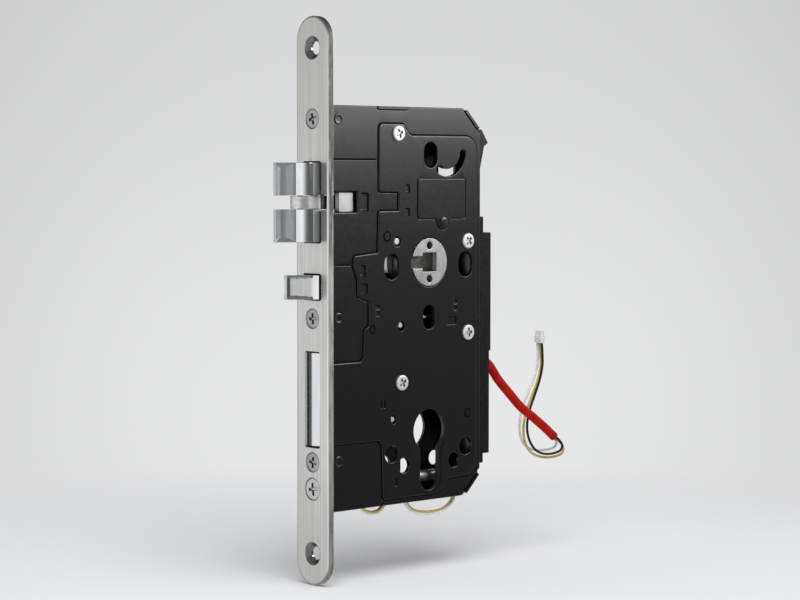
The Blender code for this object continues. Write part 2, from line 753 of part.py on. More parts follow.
def case_cover():
    """Pressed cover plate with its raised panel, notched for the tray's ribs."""
    chamfer = CASE_CHAMFER + (SHEET + CLEAR) * sqrt(2)
    notch_low = (FLOOR_IN, TENON_FRONT - CLEAR, CASE_TOP - SHEET - CLEAR)
    notch = box(notch_low, (PANEL_OUT, TENON_FRONT + TENON_LENGTH + CLEAR, CASE_TOP + SHEET))
    holes = shared_holes()
    holes += [circle(spot, COVER_SCREW_SHANK / 2 + CLEAR, 12) for spot in COVER_SCREWS.values()]
    holes.append(circle(ACCESS_RIVET, ACCESS_RIVET_SHANK / 2 + CLEAR, 10))
    holes.append(circle(SIGHT_HOLE, SIGHT_DIAMETER / 2, 12))
    holes.append(circle(SETTING_HOLE, SETTING_DIAMETER / 2, 12))
    holes.append(upright_slot(TOP_SLOT, TOP_SLOT_WIDTH, TOP_SLOT_HEIGHT))
    holes.append(arc_slot())
    pierced = [prism("x", COVER_IN - SHEET, PANEL_OUT + SHEET, hole) for hole in holes]
    part(
        "case_cover",
        prism("x", COVER_IN, COVER_OUT, case_outline(0.0, chamfer)),
        black_coat(),
        joins=[prism("x", COVER_OUT - SHEET / 2, PANEL_OUT, panel_outline())],
        cuts=[pierced + [notch, window_cutter()]],
    )


def access_plate():
    """Thin plate over the latch-reversing window, with a lobe that its rivet holds."""
    low, high = ACCESS_BOTTOM, ACCESS_BOTTOM + ACCESS_HEIGHT
    front, rear = ACCESS_FRONT, ACCESS_FRONT + ACCESS_WIDTH
    y, z = ACCESS_RIVET
    lobe = arc((y, z), ACCESS_LOBE, 200, 340, 8)
    corners = [(a, b, ACCESS_CORNER) for a, b in ((rear, low), (rear, high), (front, high), (front, low))]
    rise = [(y - ACCESS_LOBE - ACCESS_CORNER, low)]
    fall = [(y + ACCESS_LOBE + ACCESS_CORNER, low)]
    outline = rounded(corners, 2) + rise + lobe + fall
    base = PANEL_OUT + CLEAR
    top = base + ACCESS_THICK
    hole = circle((y, z), ACCESS_RIVET_SHANK / 2 + CLEAR, 10)
    part("access_plate", prism("x", base, top, outline, hole), black_coat())
    shank, head, crown = ACCESS_RIVET_SHANK / 2, ACCESS_RIVET_HEAD / 2, ACCESS_RIVET_CROWN / 2
    seat = top + CLEAR
    profile = [(COVER_IN, shank), (seat, shank), (seat, head), (seat + ACCESS_RIVET_RISE, crown)]
    part("access_rivet", turned("x", ACCESS_RIVET, profile, 16), black_coat())


def front_posts():
    """Posts between the side plates that the faceplate screws bite into, riveted at both ends."""
    for level, z in SCREW_LEVELS.items():
        neck, body = POST_NECK / 2, POST_DIAMETER / 2
        profile = [(FLOOR_OUT, neck), (INNER_LOW, neck), (INNER_LOW, body)]
        profile += [(WALL_TOP, body), (WALL_TOP, neck), (COVER_OUT, neck)]
        bore = rod("y", (0.0, z), 0.0, POST_Y + POST_DIAMETER, SCREW_SHANK + 2 * CLEAR, 16)
        part(f"front_post_{level}", turned("x", (POST_Y, z), profile), zinc(), cuts=[[bore]])


def sunk_screw(name, z, head, shank, length):
    """Countersunk cross-recess screw through the faceplate."""
    wide, narrow = head / 2, shank / 2
    neck = PLATE_FRONT + wide - narrow
    profile = [(PLATE_FRONT, wide), (neck, narrow), (PLATE_FRONT + length, narrow)]
    cross = cross_outline((0.0, z), head * RECESS_SPAN, RECESS_ARM)
    recess = prism("y", PLATE_FRONT - RECESS_DEPTH, PLATE_FRONT + RECESS_DEPTH, cross)
    part(name, turned("y", (0.0, z), profile), zinc(), cuts=[[recess]])


def faceplate_screws():
    """Three machine screws that hold the faceplate to the front posts, and the cylinder screw."""
    for level, z in SCREW_LEVELS.items():
        sunk_screw(f"faceplate_screw_{level}", z, SCREW_HEAD, SCREW_SHANK, SCREW_LENGTH)
    sunk_screw(
        "cylinder_screw", CYLINDER_SCREW_Z, CYLINDER_SCREW_HEAD, CYLINDER_SCREW_SHANK, CYLINDER_SCREW_LENGTH
    )


def cover_fixings():
    """Cover posts riveted to the tray, and the pan-head screws that hold the cover to them."""
    for label, spot in COVER_SCREWS.items():
        neck, body = COVER_POST_NECK / 2, COVER_POST / 2
        profile = [(FLOOR_OUT, neck), (INNER_LOW, neck), (INNER_LOW, body), (WALL_TOP, body)]
        seat = PANEL_OUT + CLEAR
        tip = seat - COVER_SCREW_LENGTH
        bore = rod("x", spot, tip - CLEAR, COVER_OUT, COVER_SCREW_SHANK + 2 * CLEAR, 12)
        part(f"cover_post_{label}", turned("x", spot, profile, 16), zinc(), cuts=[[bore]])
        shank, head = COVER_SCREW_SHANK / 2, COVER_SCREW_HEAD / 2
        top = seat + COVER_SCREW_RISE
        profile = [(tip, shank), (seat, shank), (seat, head), (seat + COVER_SCREW_RISE / 2, head)]
        profile.append((top, COVER_SCREW_CROWN / 2))
        cross = cross_outline(spot, COVER_SCREW_HEAD * RECESS_SPAN, RECESS_ARM)
        recess = prism("x", top - RECESS_DEPTH, top + RECESS_DEPTH, cross)
        part(f"cover_screw_{label}", turned("x", spot, profile, 16), zinc(), cuts=[[recess]])


def latch_plan():
    """Latch claw seen from above: straight back, flat nose, scooped then bulging bevel, straight side."""
    half = LATCH_WIDTH / 2
    nose = (-half + LATCH_NOSE, PLATE_FRONT - LATCH_THROW)
    bulge = (LATCH_BULGE_X, PLATE_FRONT - LATCH_BULGE_OUT)
    side = (half, PLATE_FRONT - LATCH_SIDE_OUT)
    points = [(-half, LATCH_REAR), (-half, PLATE_FRONT - LATCH_THROW), nose]
    points += bowed(nose, bulge, LATCH_SCOOP, 6)
    points += bowed(bulge, side, -LATCH_BULGE, 6)
    return points + [(half, LATCH_REAR)]


def latch():
    """Two-claw latch head, its tail plate with the lug for the follower arm, and the lever's pin."""
    carrier = axis_empty("latch_axis", (0.0, 0.0, LATCH_Z))
    low, high = LATCH_Z - LATCH_HEIGHT / 2, LATCH_Z + LATCH_HEIGHT / 2
    gap = CLAW_GAP / 2
    slot_rear = LEVER_PIVOT_Y + LEVER_ROOT + PLAY
    tip = PLATE_FRONT - LATCH_THROW
    slot = box((-LATCH_WIDTH, tip - RUN, LATCH_Z - gap), (LATCH_WIDTH, slot_rear, LATCH_Z + gap))
    reach = LEVER_PIN_LENGTH / 2
    hole_ends = (LATCH_Z - reach - CLEAR, LATCH_Z + reach + CLEAR)
    pin_hole = rod("z", (0.0, LEVER_PIVOT_Y), *hole_ends, LEVER_PIN + 2 * CLEAR, 16)
    grip = LATCH_REAR - TAIL_GRIP
    tall = TAIL_HEIGHT / 2
    socket_low = (-LATCH_WIDTH, grip, LATCH_Z - tall - CLEAR)
    socket = box(socket_low, (TAIL_HIGH + CLEAR, LATCH_REAR + RUN, LATCH_Z + tall + CLEAR))
    head = prism("z", low, high, latch_plan())
    part("latch_head", head, brushed_steel(), carrier, cuts=[[slot, socket], [pin_hole]])
    pin = rod("z", (0.0, LEVER_PIVOT_Y), LATCH_Z - reach, LATCH_Z + reach, LEVER_PIN, 16)
    part("friction_lever_pin", pin, zinc(), carrier)
    swing = radians(ARM_SWING / 2)
    lug_front = FOLLOWER_Y - ARM_RADIUS * sin(swing) + ARM_TIP + CLEAR
    tip_level = FOLLOWER_Z + ARM_RADIUS * cos(swing)
    tip_high = FOLLOWER_Z + ARM_RADIUS + ARM_TIP
    tail_rear = lug_front + TAIL_LUG
    plate = box((TAIL_LOW, grip + CLEAR, LATCH_Z - tall), (TAIL_HIGH, tail_rear, LATCH_Z + tall))
    lug = box((TAIL_LOW + CLEAR, lug_front, tip_level), (ARM_HIGH, tail_rear - CLEAR, tip_high))
    part("latch_tail", plate, zinc(), carrier, joins=[lug])


def friction_lever():
    """Round-nosed lever between the claws that the strike pushes first, on its upright pin."""
    carrier = axis_empty("friction_lever_axis", (0.0, LEVER_PIVOT_Y, LATCH_Z))
    lean = asin((LEVER_NOSE - LEVER_ROOT) / LEVER_ARM) * 180 / pi
    nose = arc((0.0, LEVER_PIVOT_Y - LEVER_ARM), LEVER_NOSE, 180 - lean, 360 + lean, 20)
    root = arc((0.0, LEVER_PIVOT_Y), LEVER_ROOT, lean, 180 - lean, 10)
    hole = circle((0.0, LEVER_PIVOT_Y), LEVER_PIN / 2 + CLEAR, 16)
    tall = CLAW_GAP / 2 - CLEAR
    body = prism("z", LATCH_Z - tall, LATCH_Z + tall, nose + root, hole)
    part("friction_lever", body, brushed_steel(), carrier)


def spring_seat(name, y, low_z, high_z, bore=None):
    """Upright seat between the side plates that a bolt spring pushes against, bored if it has a rod."""
    hole = []
    if bore is not None:
        hole = [circle((0.0, bore[0]), bore[1] / 2 + CLEAR, 16)]
    outline = rectangle((INNER_LOW, low_z), (WALL_TOP, high_z))
    part(name, prism("y", y, y + SEAT_THICK, outline, *hole), zinc())


def bolt_springs():
    """Springs that drive the latch and the control latch out, and their seats."""
    wire = SPRING_WIRE / 2
    reach = LATCH_SPRING_RADIUS + wire + CLEAR
    floor = LATCH_Z + TAIL_HEIGHT / 2 + PLAY
    spring_seat("latch_spring_seat", LATCH_SEAT_Y, floor, LATCH_SPRING_Z + reach)
    ends = (LATCH_REAR + CLEAR + wire, LATCH_SEAT_Y - CLEAR - wire)
    turns = coil("y", (0.0, LATCH_SPRING_Z), *ends, LATCH_SPRING_RADIUS, LATCH_SPRING_TURNS)
    tube("latch_spring", turns, SPRING_WIRE, spring_steel(), 1)
    high = CONTROL_Z + CONTROL_HEIGHT / 2
    low = CONTROL_Z - CONTROL_HEIGHT / 2
    spring_seat("control_spring_seat", CONTROL_SEAT_Y, low, high, (CONTROL_ROD_Z, CONTROL_ROD))
    ends = (CONTROL_REAR + CLEAR + wire, CONTROL_SEAT_Y - CLEAR - wire)
    turns = coil("y", (0.0, CONTROL_ROD_Z), *ends, CONTROL_SPRING_RADIUS, CONTROL_SPRING_TURNS)
    tube("control_latch_spring", turns, SPRING_WIRE, spring_steel(), 1)


def control_latch():
    """Control latch: a bevelled head and the guide rod behind it."""
    carrier = axis_empty("control_latch_axis", (0.0, 0.0, CONTROL_Z))
    half, tip = CONTROL_WIDTH / 2, PLATE_FRONT - CONTROL_THROW
    plan = [(-half, CONTROL_REAR), (-half, tip), (-half + CONTROL_NOSE, tip)]
    plan += [(half, PLATE_FRONT - CONTROL_SIDE_OUT), (half, CONTROL_REAR)]
    low, high = CONTROL_Z - CONTROL_HEIGHT / 2, CONTROL_Z + CONTROL_HEIGHT / 2
    grip = CONTROL_REAR - CONTROL_ROD_GRIP
    centre = (0.0, CONTROL_ROD_Z)
    socket = rod("y", centre, grip, CONTROL_REAR + RUN, CONTROL_ROD + 2 * CLEAR, 16)
    part("control_latch_head", prism("z", low, high, plan), brushed_steel(), carrier, cuts=[[socket]])
    end = CONTROL_SEAT_Y + 2 * SEAT_THICK
    part("control_latch_rod", rod("y", centre, grip + CLEAR, end, CONTROL_ROD, 16), zinc(), carrier)


def dead_bolt():
    """Dead bolt head with a switch ramp under it, its slotted tail plate and the rivets between them."""
    carrier = axis_empty("dead_bolt_axis", (0.0, 0.0, BOLT_Z))
    half, tall = BOLT_WIDTH / 2, BOLT_HEIGHT / 2
    head = box((-half, BOLT_FRONT, BOLT_Z - tall), (half, BOLT_REAR, BOLT_Z + tall))
    tail = BOLT_TAIL_THICK / 2
    grip = BOLT_REAR - BOLT_TAIL_GRIP
    tail_low, tail_high = BOLT_TAIL_Z - BOLT_TAIL_HEIGHT / 2, BOLT_TAIL_Z + BOLT_TAIL_HEIGHT / 2
    socket_low = (-tail - CLEAR, grip, tail_low - CLEAR)
    socket = box(socket_low, (tail + CLEAR, BOLT_REAR + RUN, tail_high + CLEAR))
    floor = BOLT_Z - tall
    leaf_tip = SWITCH_FRONT + SWITCH_LENGTH - LEAF_REACH
    slope = BOLT_RAMP_RISE / BOLT_THROW
    end = BOLT_REAR + RUN
    ramp = [(leaf_tip, floor), (leaf_tip, floor - SHEET), (end, floor - SHEET)]
    ramp.append((end, floor + slope * (end - leaf_tip)))
    ramp_cut = prism("x", -half - RUN, half + RUN, ramp)
    spread = BOLT_RIVET_SPREAD / 2
    rivets = [(grip + BOLT_TAIL_GRIP / 2, BOLT_TAIL_Z + side * spread) for side in (-1, 1)]
    bore = BOLT_RIVET + 2 * CLEAR
    through = [rod("x", spot, -half - RUN, half + RUN, bore, 12) for spot in rivets]
    part("dead_bolt_head", head, brushed_steel(), carrier, cuts=[[socket, ramp_cut], through])
    post_y, post_z = COVER_SCREWS["front"]
    slot_half = COVER_POST / 2 + CLEAR
    slot_middle = (post_z, post_y + BOLT_THROW / 2)
    level_slot = upright_slot(slot_middle, 2 * slot_half, BOLT_THROW + 2 * slot_half, 12)
    slot = [(y, z) for z, y in level_slot]
    tail_rear = post_y + BOLT_THROW + slot_half + BOLT_TAIL_END
    cam = CAM_NOTCH_WIDTH / 2
    notch = tail_low + CAM_NOTCH_DEPTH
    outline = [
        (grip + CLEAR, tail_low), (FOLLOWER_Y - cam, tail_low), (FOLLOWER_Y - cam, notch),
        (FOLLOWER_Y + cam, notch), (FOLLOWER_Y + cam, tail_low), (tail_rear, tail_low),
        (tail_rear, tail_high), (grip + CLEAR, tail_high),
    ]
    holes = [circle(spot, bore / 2, 12) for spot in rivets]
    part("dead_bolt_tail", prism("x", -tail, tail, outline, slot, *holes), zinc(), carrier)
    for label, spot in zip(("lower", "upper"), rivets):
        part(f"dead_bolt_rivet_{label}", rod("x", spot, -half, half, BOLT_RIVET, 12), zinc(), carrier)


def follower():
    """Spindle follower with its square hole, and the arm that draws the latch."""
    centre = (FOLLOWER_Y, FOLLOWER_Z)
    carrier = axis_empty("follower_axis", (0.0, *centre))
    radius, half = FOLLOWER_DIAMETER / 2, SPINDLE / 2
    square_low = (FOLLOWER_Y - half, FOLLOWER_Z - half)
    square = rectangle(square_low, (FOLLOWER_Y + half, FOLLOWER_Z + half))
    pins = [(FOLLOWER_Y, FOLLOWER_Z + side * FOLLOWER_PIN_OFFSET) for side in (-1, 1)]
    holes = [square] + [circle(spot, FOLLOWER_PIN_HOLE / 2, 12) for spot in pins]
    face = PANEL_OUT + FOLLOWER_PROUD
    hub = prism("x", FLOOR_OUT - FOLLOWER_PROUD, face, circle(centre, radius, 36), *holes)
    slot_half = FOLLOWER_SLOT_HEIGHT / 2
    slot_low = (face - FOLLOWER_SLOT_DEPTH, FOLLOWER_Y - FOLLOWER_DIAMETER, FOLLOWER_Z - slot_half)
    slot = box(slot_low, (face + SHEET, FOLLOWER_Y - half + RUN, FOLLOWER_Z + slot_half))
    part("follower_hub", hub, zinc(), carrier, cuts=[[slot]])
    inner = radius + CLEAR
    outer = inner + ARM_RING
    meet = asin(ARM_ROOT / outer) * 180 / pi
    ring = arc((0.0, 0.0), outer, 90 + meet, 450 - meet, 36)
    tip = arc((0.0, ARM_RADIUS), ARM_TIP, -10, 190, 10)
    lean = radians(ARM_SWING / 2)
    arm = []
    for u, v in ring + tip:
        turned_y = u * cos(lean) - v * sin(lean)
        turned_z = u * sin(lean) + v * cos(lean)
        arm.append((FOLLOWER_Y + turned_y, FOLLOWER_Z + turned_z))
    part("follower_arm", prism("x", ARM_LOW, ARM_HIGH, arm, circle(centre, inner, 32)), zinc(), carrier)
    mean = outer + RETURN_GAP - ARM_RING
    start = ARM_HIGH + CLEAR + RETURN_WIRE
    steps = 28
    turns = []
    for step in range(steps + 1):
        turn = radians(RETURN_START + RETURN_SWEEP * step / steps)
        along = start + RETURN_LIFT * step / steps
        turns.append((along, FOLLOWER_Y + mean * cos(turn), FOLLOWER_Z + mean * sin(turn)))
    legs = []
    for end, following in ((turns[0], turns[1]), (turns[-1], turns[-2])):
        heading = (Vector(end) - Vector(following)).normalized()
        legs.append(tuple(Vector(end) + Vector((0.0, heading.y, heading.z)) * RETURN_LEG))
    tube("follower_spring", [legs[0], *turns, legs[1]], RETURN_WIRE, spring_steel(), 1)


def key_lever():
    """Lever that the cylinder's cam lifts, with its pivot pin, return spring and spring seat."""
    carrier = axis_empty("key_lever_axis", (0.0, *KEY_PIVOT))
    low, high = INNER_LOW + CLEAR, INNER_LOW + CLEAR + KEY_THICK
    tip = KEY_PIVOT[0] - KEY_REACH
    boss = arc(KEY_PIVOT, KEY_BOSS, -70, 110, 14)
    outline = boss + [(tip, KEY_TIP_TOP), (tip, KEY_LOW), (KEY_PIVOT[0] - KEY_BOSS, KEY_LOW)]
    hole = circle(KEY_PIVOT, KEY_PIN / 2 + CLEAR, 14)
    part("key_lever", prism("x", low, high, outline, hole), zinc(), carrier)
    shank, cap = KEY_PIN / 2, KEY_PIN_HEAD / 2
    seat = high + CLEAR
    profile = [(INNER_LOW, shank), (seat, shank), (seat, cap), (seat + SHEET, cap)]
    part("key_lever_pin", turned("x", KEY_PIVOT, profile, 14), zinc())
    slope = (boss[-1][1] - KEY_TIP_TOP) / (boss[-1][0] - tip)
    wire = KEY_SPRING_WIRE / 2
    reach = KEY_SPRING_RADIUS + wire + CLEAR
    lever_top = KEY_TIP_TOP + slope * (KEY_SPRING_Y + reach - tip)
    middle = ((low + high) / 2, KEY_SPRING_Y)
    ends = (lever_top + CLEAR + wire, KEY_SPRING_TOP - CLEAR - wire)
    turns = coil("z", middle, *ends, KEY_SPRING_RADIUS, KEY_SPRING_TURNS)
    tube("key_lever_spring", turns, KEY_SPRING_WIRE, spring_steel(), 1)
    seat_low = (low, KEY_SPRING_Y - reach, KEY_SPRING_TOP)
    seat_high = (high, KEY_SPRING_Y + reach, KEY_SPRING_TOP + SEAT_THICK)
    part("key_spring_seat", box(seat_low, seat_high), zinc())


def microswitch():
    """Microswitch under the dead bolt, and the leaf that the bolt's ramp lets rise."""
    rear = SWITCH_FRONT + SWITCH_LENGTH
    top = BOLT_Z - BOLT_HEIGHT / 2 - SWITCH_DROP
    half = SWITCH_WIDTH / 2
    body = box((-half, SWITCH_FRONT, top - SWITCH_HEIGHT), (half, rear, top))
    part("microswitch", body, black_plastic())
    pivot = (rear, top + LEAF_PIVOT_RISE)
    carrier = axis_empty("switch_leaf_axis", (0.0, *pivot))
    tip = (pivot[0] - LEAF_REACH, pivot[1] + LEAF_RISE - LEAF_THICK / 2)
    share = LEAF_THICK / 2 / hypot(LEAF_REACH, LEAF_RISE)
    strip = []
    for (y, z), way in ((pivot, -1), (pivot, 1), (tip, 1), (tip, -1)):
        strip.append((y + way * LEAF_RISE * share, z + way * LEAF_REACH * share))
    part("switch_leaf", prism("x", -LEAF_WIDTH / 2, LEAF_WIDTH / 2, strip), spring_steel(), carrier)


def rear_duct():
    """Cable duct on the case's rear: a base strip, the duct's cover, the clip above and the grommet."""
    half = DUCT_BASE_WIDTH / 2
    base_low = (-half, CASE_REAR + CLEAR, DUCT_BASE_BOTTOM)
    part("duct_base", box(base_low, (half, DUCT_BASE_REAR, DUCT_BASE_TOP)), black_plastic())
    side = DUCT_WIDTH / 2
    lower = DUCT_REAR - DUCT_STEP
    profile = [(DUCT_FRONT, DUCT_BOTTOM), (lower, DUCT_BOTTOM), (lower, DUCT_STEP_Z)]
    profile += [(DUCT_REAR, DUCT_STEP_Z), (DUCT_REAR, DUCT_TOP), (DUCT_FRONT, DUCT_TOP)]
    hollow_low = (-side + DUCT_WALL, DUCT_FRONT - RUN, DUCT_BOTTOM - RUN)
    hollow = box(hollow_low, (side - DUCT_WALL, lower - DUCT_WALL, DUCT_TOP - DUCT_WALL))
    wide = GROMMET_BORE + 2 * PLAY
    exit_hole = rod("y", (0.0, CABLE_EXIT_Z), DUCT_FRONT, DUCT_REAR + RUN, wide, 16)
    part("duct_cover", prism("x", -side, side, profile), black_plastic(), cuts=[[hollow], [exit_hole]])
    ring = circle((0.0, CABLE_EXIT_Z), GROMMET_DIAMETER / 2, 20)
    bore = circle((0.0, CABLE_EXIT_Z), GROMMET_BORE / 2, 16)
    seat = lower + CLEAR
    rubber = material("black_rubber", (0.015, 0.015, 0.015), 0.7, 0.0)
    part("cable_grommet", prism("y", seat, seat + GROMMET_RISE, ring, bore), rubber)
    front, low = CASE_REAR + CLEAR, CLIP_TOP - CLIP_HEIGHT
    barb = CLIP_TOP - CLIP_BARB_DROP
    hook = [(front, low), (front + CLIP_LIP, low), (front + CLIP_HOLLOW_DEPTH, barb - CLIP_HOLLOW_DROP)]
    hook += [(front + CLIP_DEPTH, barb), (front + CLIP_CREST, CLIP_TOP), (front, CLIP_TOP)]
    part("rear_clip", prism("x", -CLIP_WIDTH / 2, CLIP_WIDTH / 2, hook), black_plastic())


def millimetres(points):
    """Route points given in millimetres."""
    return [tuple(value * MM for value in point) for point in points]


def cable():
    """Wire harness held by the case and the duct, the red sleeve, the three wires and the connector."""
    harness = [
        (2, 25.7, -71), (3.4, 27.4, -72.4), (3.9, 27.6, -77.6), (3.8, 24.6, -83), (3.4, 22, -86.6),
        (3.1, 22.6, -88.4), (3, 25.2, -89.6), (3, 28.8, -90.1), (3, 32, -89.3), (3.2, 34.4, -87),
        (3.4, 36.6, -84.2), (3.4, 40, -83), (3.4, 43.8, -84), (3.2, 46.4, -86.8), (3, 48.2, -89.4),
        (3, 51.2, -91.6), (3, 55.6, -92.9), (3, 62, -93.5), (3, 68, -93), (3, 72.6, -91.2),
        (2.9, 75.2, -88.6), (2.8, 75.8, -85.6), (2.6, 75, -82.4), (2.2, 73, -79.6), (1.8, 70.4, -77.8),
    ]
    black = material("wire_black", (0.02, 0.02, 0.02), 0.5, 0.0)
    route = smooth_route(millimetres(harness), 2 * HARNESS_DIAMETER)
    tube("wire_harness", route, HARNESS_DIAMETER, black)
    sleeve = [
        (0, 97.2, -30), (0, 99.1, -31), (0, 101.5, -33.2), (0, 106, -38.7), (0, 113.2, -45.4),
        (0, 120.6, -52), (0, 128.7, -57.3), (0, 136.3, -62.5), (0, 142.4, -67.1),
    ]
    red = material("sleeve_red", (0.42, 0.03, 0.02), 0.5, 0.0)
    tube("cable_sleeve", smooth_route(millimetres(sleeve), 2 * SLEEVE_DIAMETER), SLEEVE_DIAMETER, red)
    wires = {
        "wire_white": [
            (-1.2, 143.2, -67.5), (-1.6, 145.2, -69), (-2.1, 146.2, -71), (-3, 144.6, -72.8),
            (-4.4, 139.4, -73.4), (-5.7, 133.4, -72.6), (-6.4, 129, -69.6), (-6.5, 126.8, -64.6),
            (-6.5, 126.8, -58.6), (-6.5, 128.8, -52.6), (-6.5, 132.6, -46), (-6.5, 136.4, -39.4),
            (-6.5, 138.4, -33.6), (-6.5, 138.4, -28.6), (-6.4, 138, -24.4),
        ],
        "wire_yellow": [
            (0, 143.4, -68.4), (0, 146.4, -70), (-0.2, 148.9, -72.6), (-0.8, 148.4, -75.4),
            (-2.4, 143.2, -76.8), (-3.8, 136.4, -76), (-4.8, 131.2, -73), (-5, 128.2, -67.6),
            (-5, 127.6, -61.8), (-5, 129.2, -55.6), (-5, 132.6, -49), (-5, 136.6, -41.8),
            (-5, 138.9, -34.8), (-5, 138.6, -28.8), (-5, 138, -24.4),
        ],
        "wire_black": [
            (1.2, 143, -67.6), (1.3, 145.2, -69.4), (1.2, 146.6, -71.5), (0.5, 145.8, -73.8),
            (-1.2, 141.4, -75), (-2.4, 136, -74.2), (-3.2, 131.9, -71.2), (-3.5, 129.2, -66.4),
            (-3.5, 128.4, -61), (-3.5, 129.8, -55), (-3.5, 133, -48.4), (-3.5, 136.4, -41.4),
            (-3.5, 138.3, -34.8), (-3.5, 138.3, -28.8), (-3.6, 138, -24.4),
        ],
    }
    colours = {
        "wire_white": (0.7, 0.7, 0.68),
        "wire_yellow": (0.55, 0.36, 0.06),
        "wire_black": (0.02, 0.02, 0.02),
    }
    for name, points in wires.items():
        coat = material(name, colours[name], 0.5, 0.0)
        route = smooth_route(millimetres(points), 2.6 * WIRE_DIAMETER)
        tube(name, route, WIRE_DIAMETER, coat)
    width, depth, tall = CONNECTOR_SIZE
    end = Vector(wires["wire_yellow"][-1]) * MM
    low = end + Vector((-width / 2, -depth / 2, CLEAR))
    housing = box(tuple(low), tuple(low + Vector((width, depth, tall))))
    part("connector", housing, material("white_nylon", (0.78, 0.78, 0.75), 0.45, 0.0))


def clear_scene():
    """Empty scene to build in."""
    for old in list(bpy.data.objects):
        bpy.data.objects.remove(old, do_unlink=True)


def main():
    """Every piece of the lock."""
    clear_scene()
    faceplate()
    case_tray()
    case_cover()
    access_plate()
    front_posts()
    faceplate_screws()
    cover_fixings()
    latch()
    friction_lever()
    bolt_springs()
    control_latch()
    dead_bolt()
    follower()
    key_lever()
    microswitch()
    rear_duct()
    cable()


main()
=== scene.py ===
import bmesh
import bpy
import numpy as np
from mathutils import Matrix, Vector
from mathutils.geometry import delaunay_2d_cdt


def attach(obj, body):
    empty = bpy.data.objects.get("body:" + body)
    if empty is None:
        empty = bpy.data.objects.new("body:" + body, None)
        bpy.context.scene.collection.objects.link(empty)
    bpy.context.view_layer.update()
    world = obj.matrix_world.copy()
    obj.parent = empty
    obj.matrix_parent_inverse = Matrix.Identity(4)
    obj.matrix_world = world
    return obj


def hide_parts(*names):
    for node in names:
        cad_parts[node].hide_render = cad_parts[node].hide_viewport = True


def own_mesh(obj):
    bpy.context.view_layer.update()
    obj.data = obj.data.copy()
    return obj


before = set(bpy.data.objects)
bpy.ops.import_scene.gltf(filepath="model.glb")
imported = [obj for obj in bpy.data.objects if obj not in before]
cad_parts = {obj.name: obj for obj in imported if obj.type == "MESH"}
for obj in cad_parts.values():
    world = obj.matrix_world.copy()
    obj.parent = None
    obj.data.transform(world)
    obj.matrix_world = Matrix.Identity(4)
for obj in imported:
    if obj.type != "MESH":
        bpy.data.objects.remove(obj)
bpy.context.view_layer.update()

scene = bpy.context.scene
scene.view_settings.view_transform = "Standard"


# Camera: a long lens a little above the latch's middle, just under a metre away, turned so that the
# faceplate and the cover both show. It looks slightly down, and its lens is shifted down a little as well.
lens = bpy.data.cameras.new("camera")
lens.sensor_width = 36
lens.lens = 104.4436
lens.shift_y = -0.05
camera = bpy.data.objects.new("camera", lens)
camera.location = (0.72331, -0.62757, 0.054087)
camera.rotation_euler = np.radians((87.7905, -0.024, 47.0213))
scene.collection.objects.link(camera)
scene.camera = camera


# Floor: a matt pale sheet that the faceplate's lower end stands on. It fades out between 15 and 40 cm from
# the lock's middle, where the pale field of the studio takes over.
def new_node(tree, kind, *feeds, **settings):
    """A shader node of one kind, its settings made and its first inputs linked or set; None skips one."""
    node = tree.nodes.new(kind)
    for name, value in settings.items():
        setattr(node, name, value)
    for target, feed in zip(node.inputs, feeds):
        if isinstance(feed, bpy.types.NodeSocket):
            tree.links.new(feed, target)
        elif feed is not None:
            target.default_value = feed
    return node


def ranged(tree, socket, low, high, at_low, at_high, kind="SMOOTHSTEP"):
    """The value carried from one range to another, smoothly unless told otherwise."""
    node = new_node(tree, "ShaderNodeMapRange", socket, low, high, at_low, at_high, interpolation_type=kind)
    return node.outputs["Result"]


floor_centre, floor_level = 0.045, -0.1176
fade_start, fade_end = 0.15, 0.4
reaches = np.array((0, 0.06, 0.12, 0.2, 0.3, 0.45))
turn, reach = np.meshgrid(np.linspace(0, 2 * np.pi, 97), reaches)
spots = np.stack([reach * np.cos(turn), reach * np.sin(turn) + floor_centre, 0 * reach + floor_level], -1)
index = np.arange(turn.size).reshape(turn.shape)
quads = np.stack([index[:-1, :-1], index[1:, :-1], index[1:, 1:], index[:-1, 1:]], -1).reshape(-1, 4)
floor_mesh = bpy.data.meshes.new("floor")
floor_mesh.from_pydata(spots.reshape(-1, 3).tolist(), [], quads.tolist())
floor = bpy.data.objects.new("floor", floor_mesh)
scene.collection.objects.link(floor)
floor_paper = bpy.data.materials.new("floor_paper")
floor_paper.use_nodes = True
tree = floor_paper.node_tree
tree.nodes.clear()
where = new_node(tree, "ShaderNodeTexCoord").outputs["Object"]
level = new_node(
    tree, "ShaderNodeVectorMath", where, (1, 1, 0), (0, -floor_centre, 0), operation="MULTIPLY_ADD")
far = new_node(tree, "ShaderNodeVectorMath", level.outputs[0], operation="LENGTH")
fade = ranged(tree, far.outputs["Value"], fade_start, fade_end, 1, 0)
matt = new_node(tree, "ShaderNodeBsdfDiffuse", (0.8, 0.805, 0.815, 1))
clear = new_node(tree, "ShaderNodeBsdfTransparent")
blend = new_node(tree, "ShaderNodeMixShader", fade, clear.outputs[0], matt.outputs[0])
new_node(tree, "ShaderNodeOutputMaterial", blend.outputs[0])
floor_mesh.materials.append(floor_paper)
floor.visible_glossy = False


# Studio field: what the lens sees is a pale sweep, a little darker towards the top and the sides. What the
# metal sees is a ring of soft boxes and dark gaps at eye level, a dim ceiling and a grey table. The rest is
# fill.
def mixed(tree, share, first, second):
    """A blend of two numbers, plain or linked, by a linked share."""
    return new_node(tree, "ShaderNodeMix", share, None, first, second, data_type="FLOAT").outputs[0]


def combined(tree, operation, first, second):
    """Two numbers, plain or linked, put together by one operation."""
    return new_node(tree, "ShaderNodeMath", first, second, operation=operation).outputs[0]


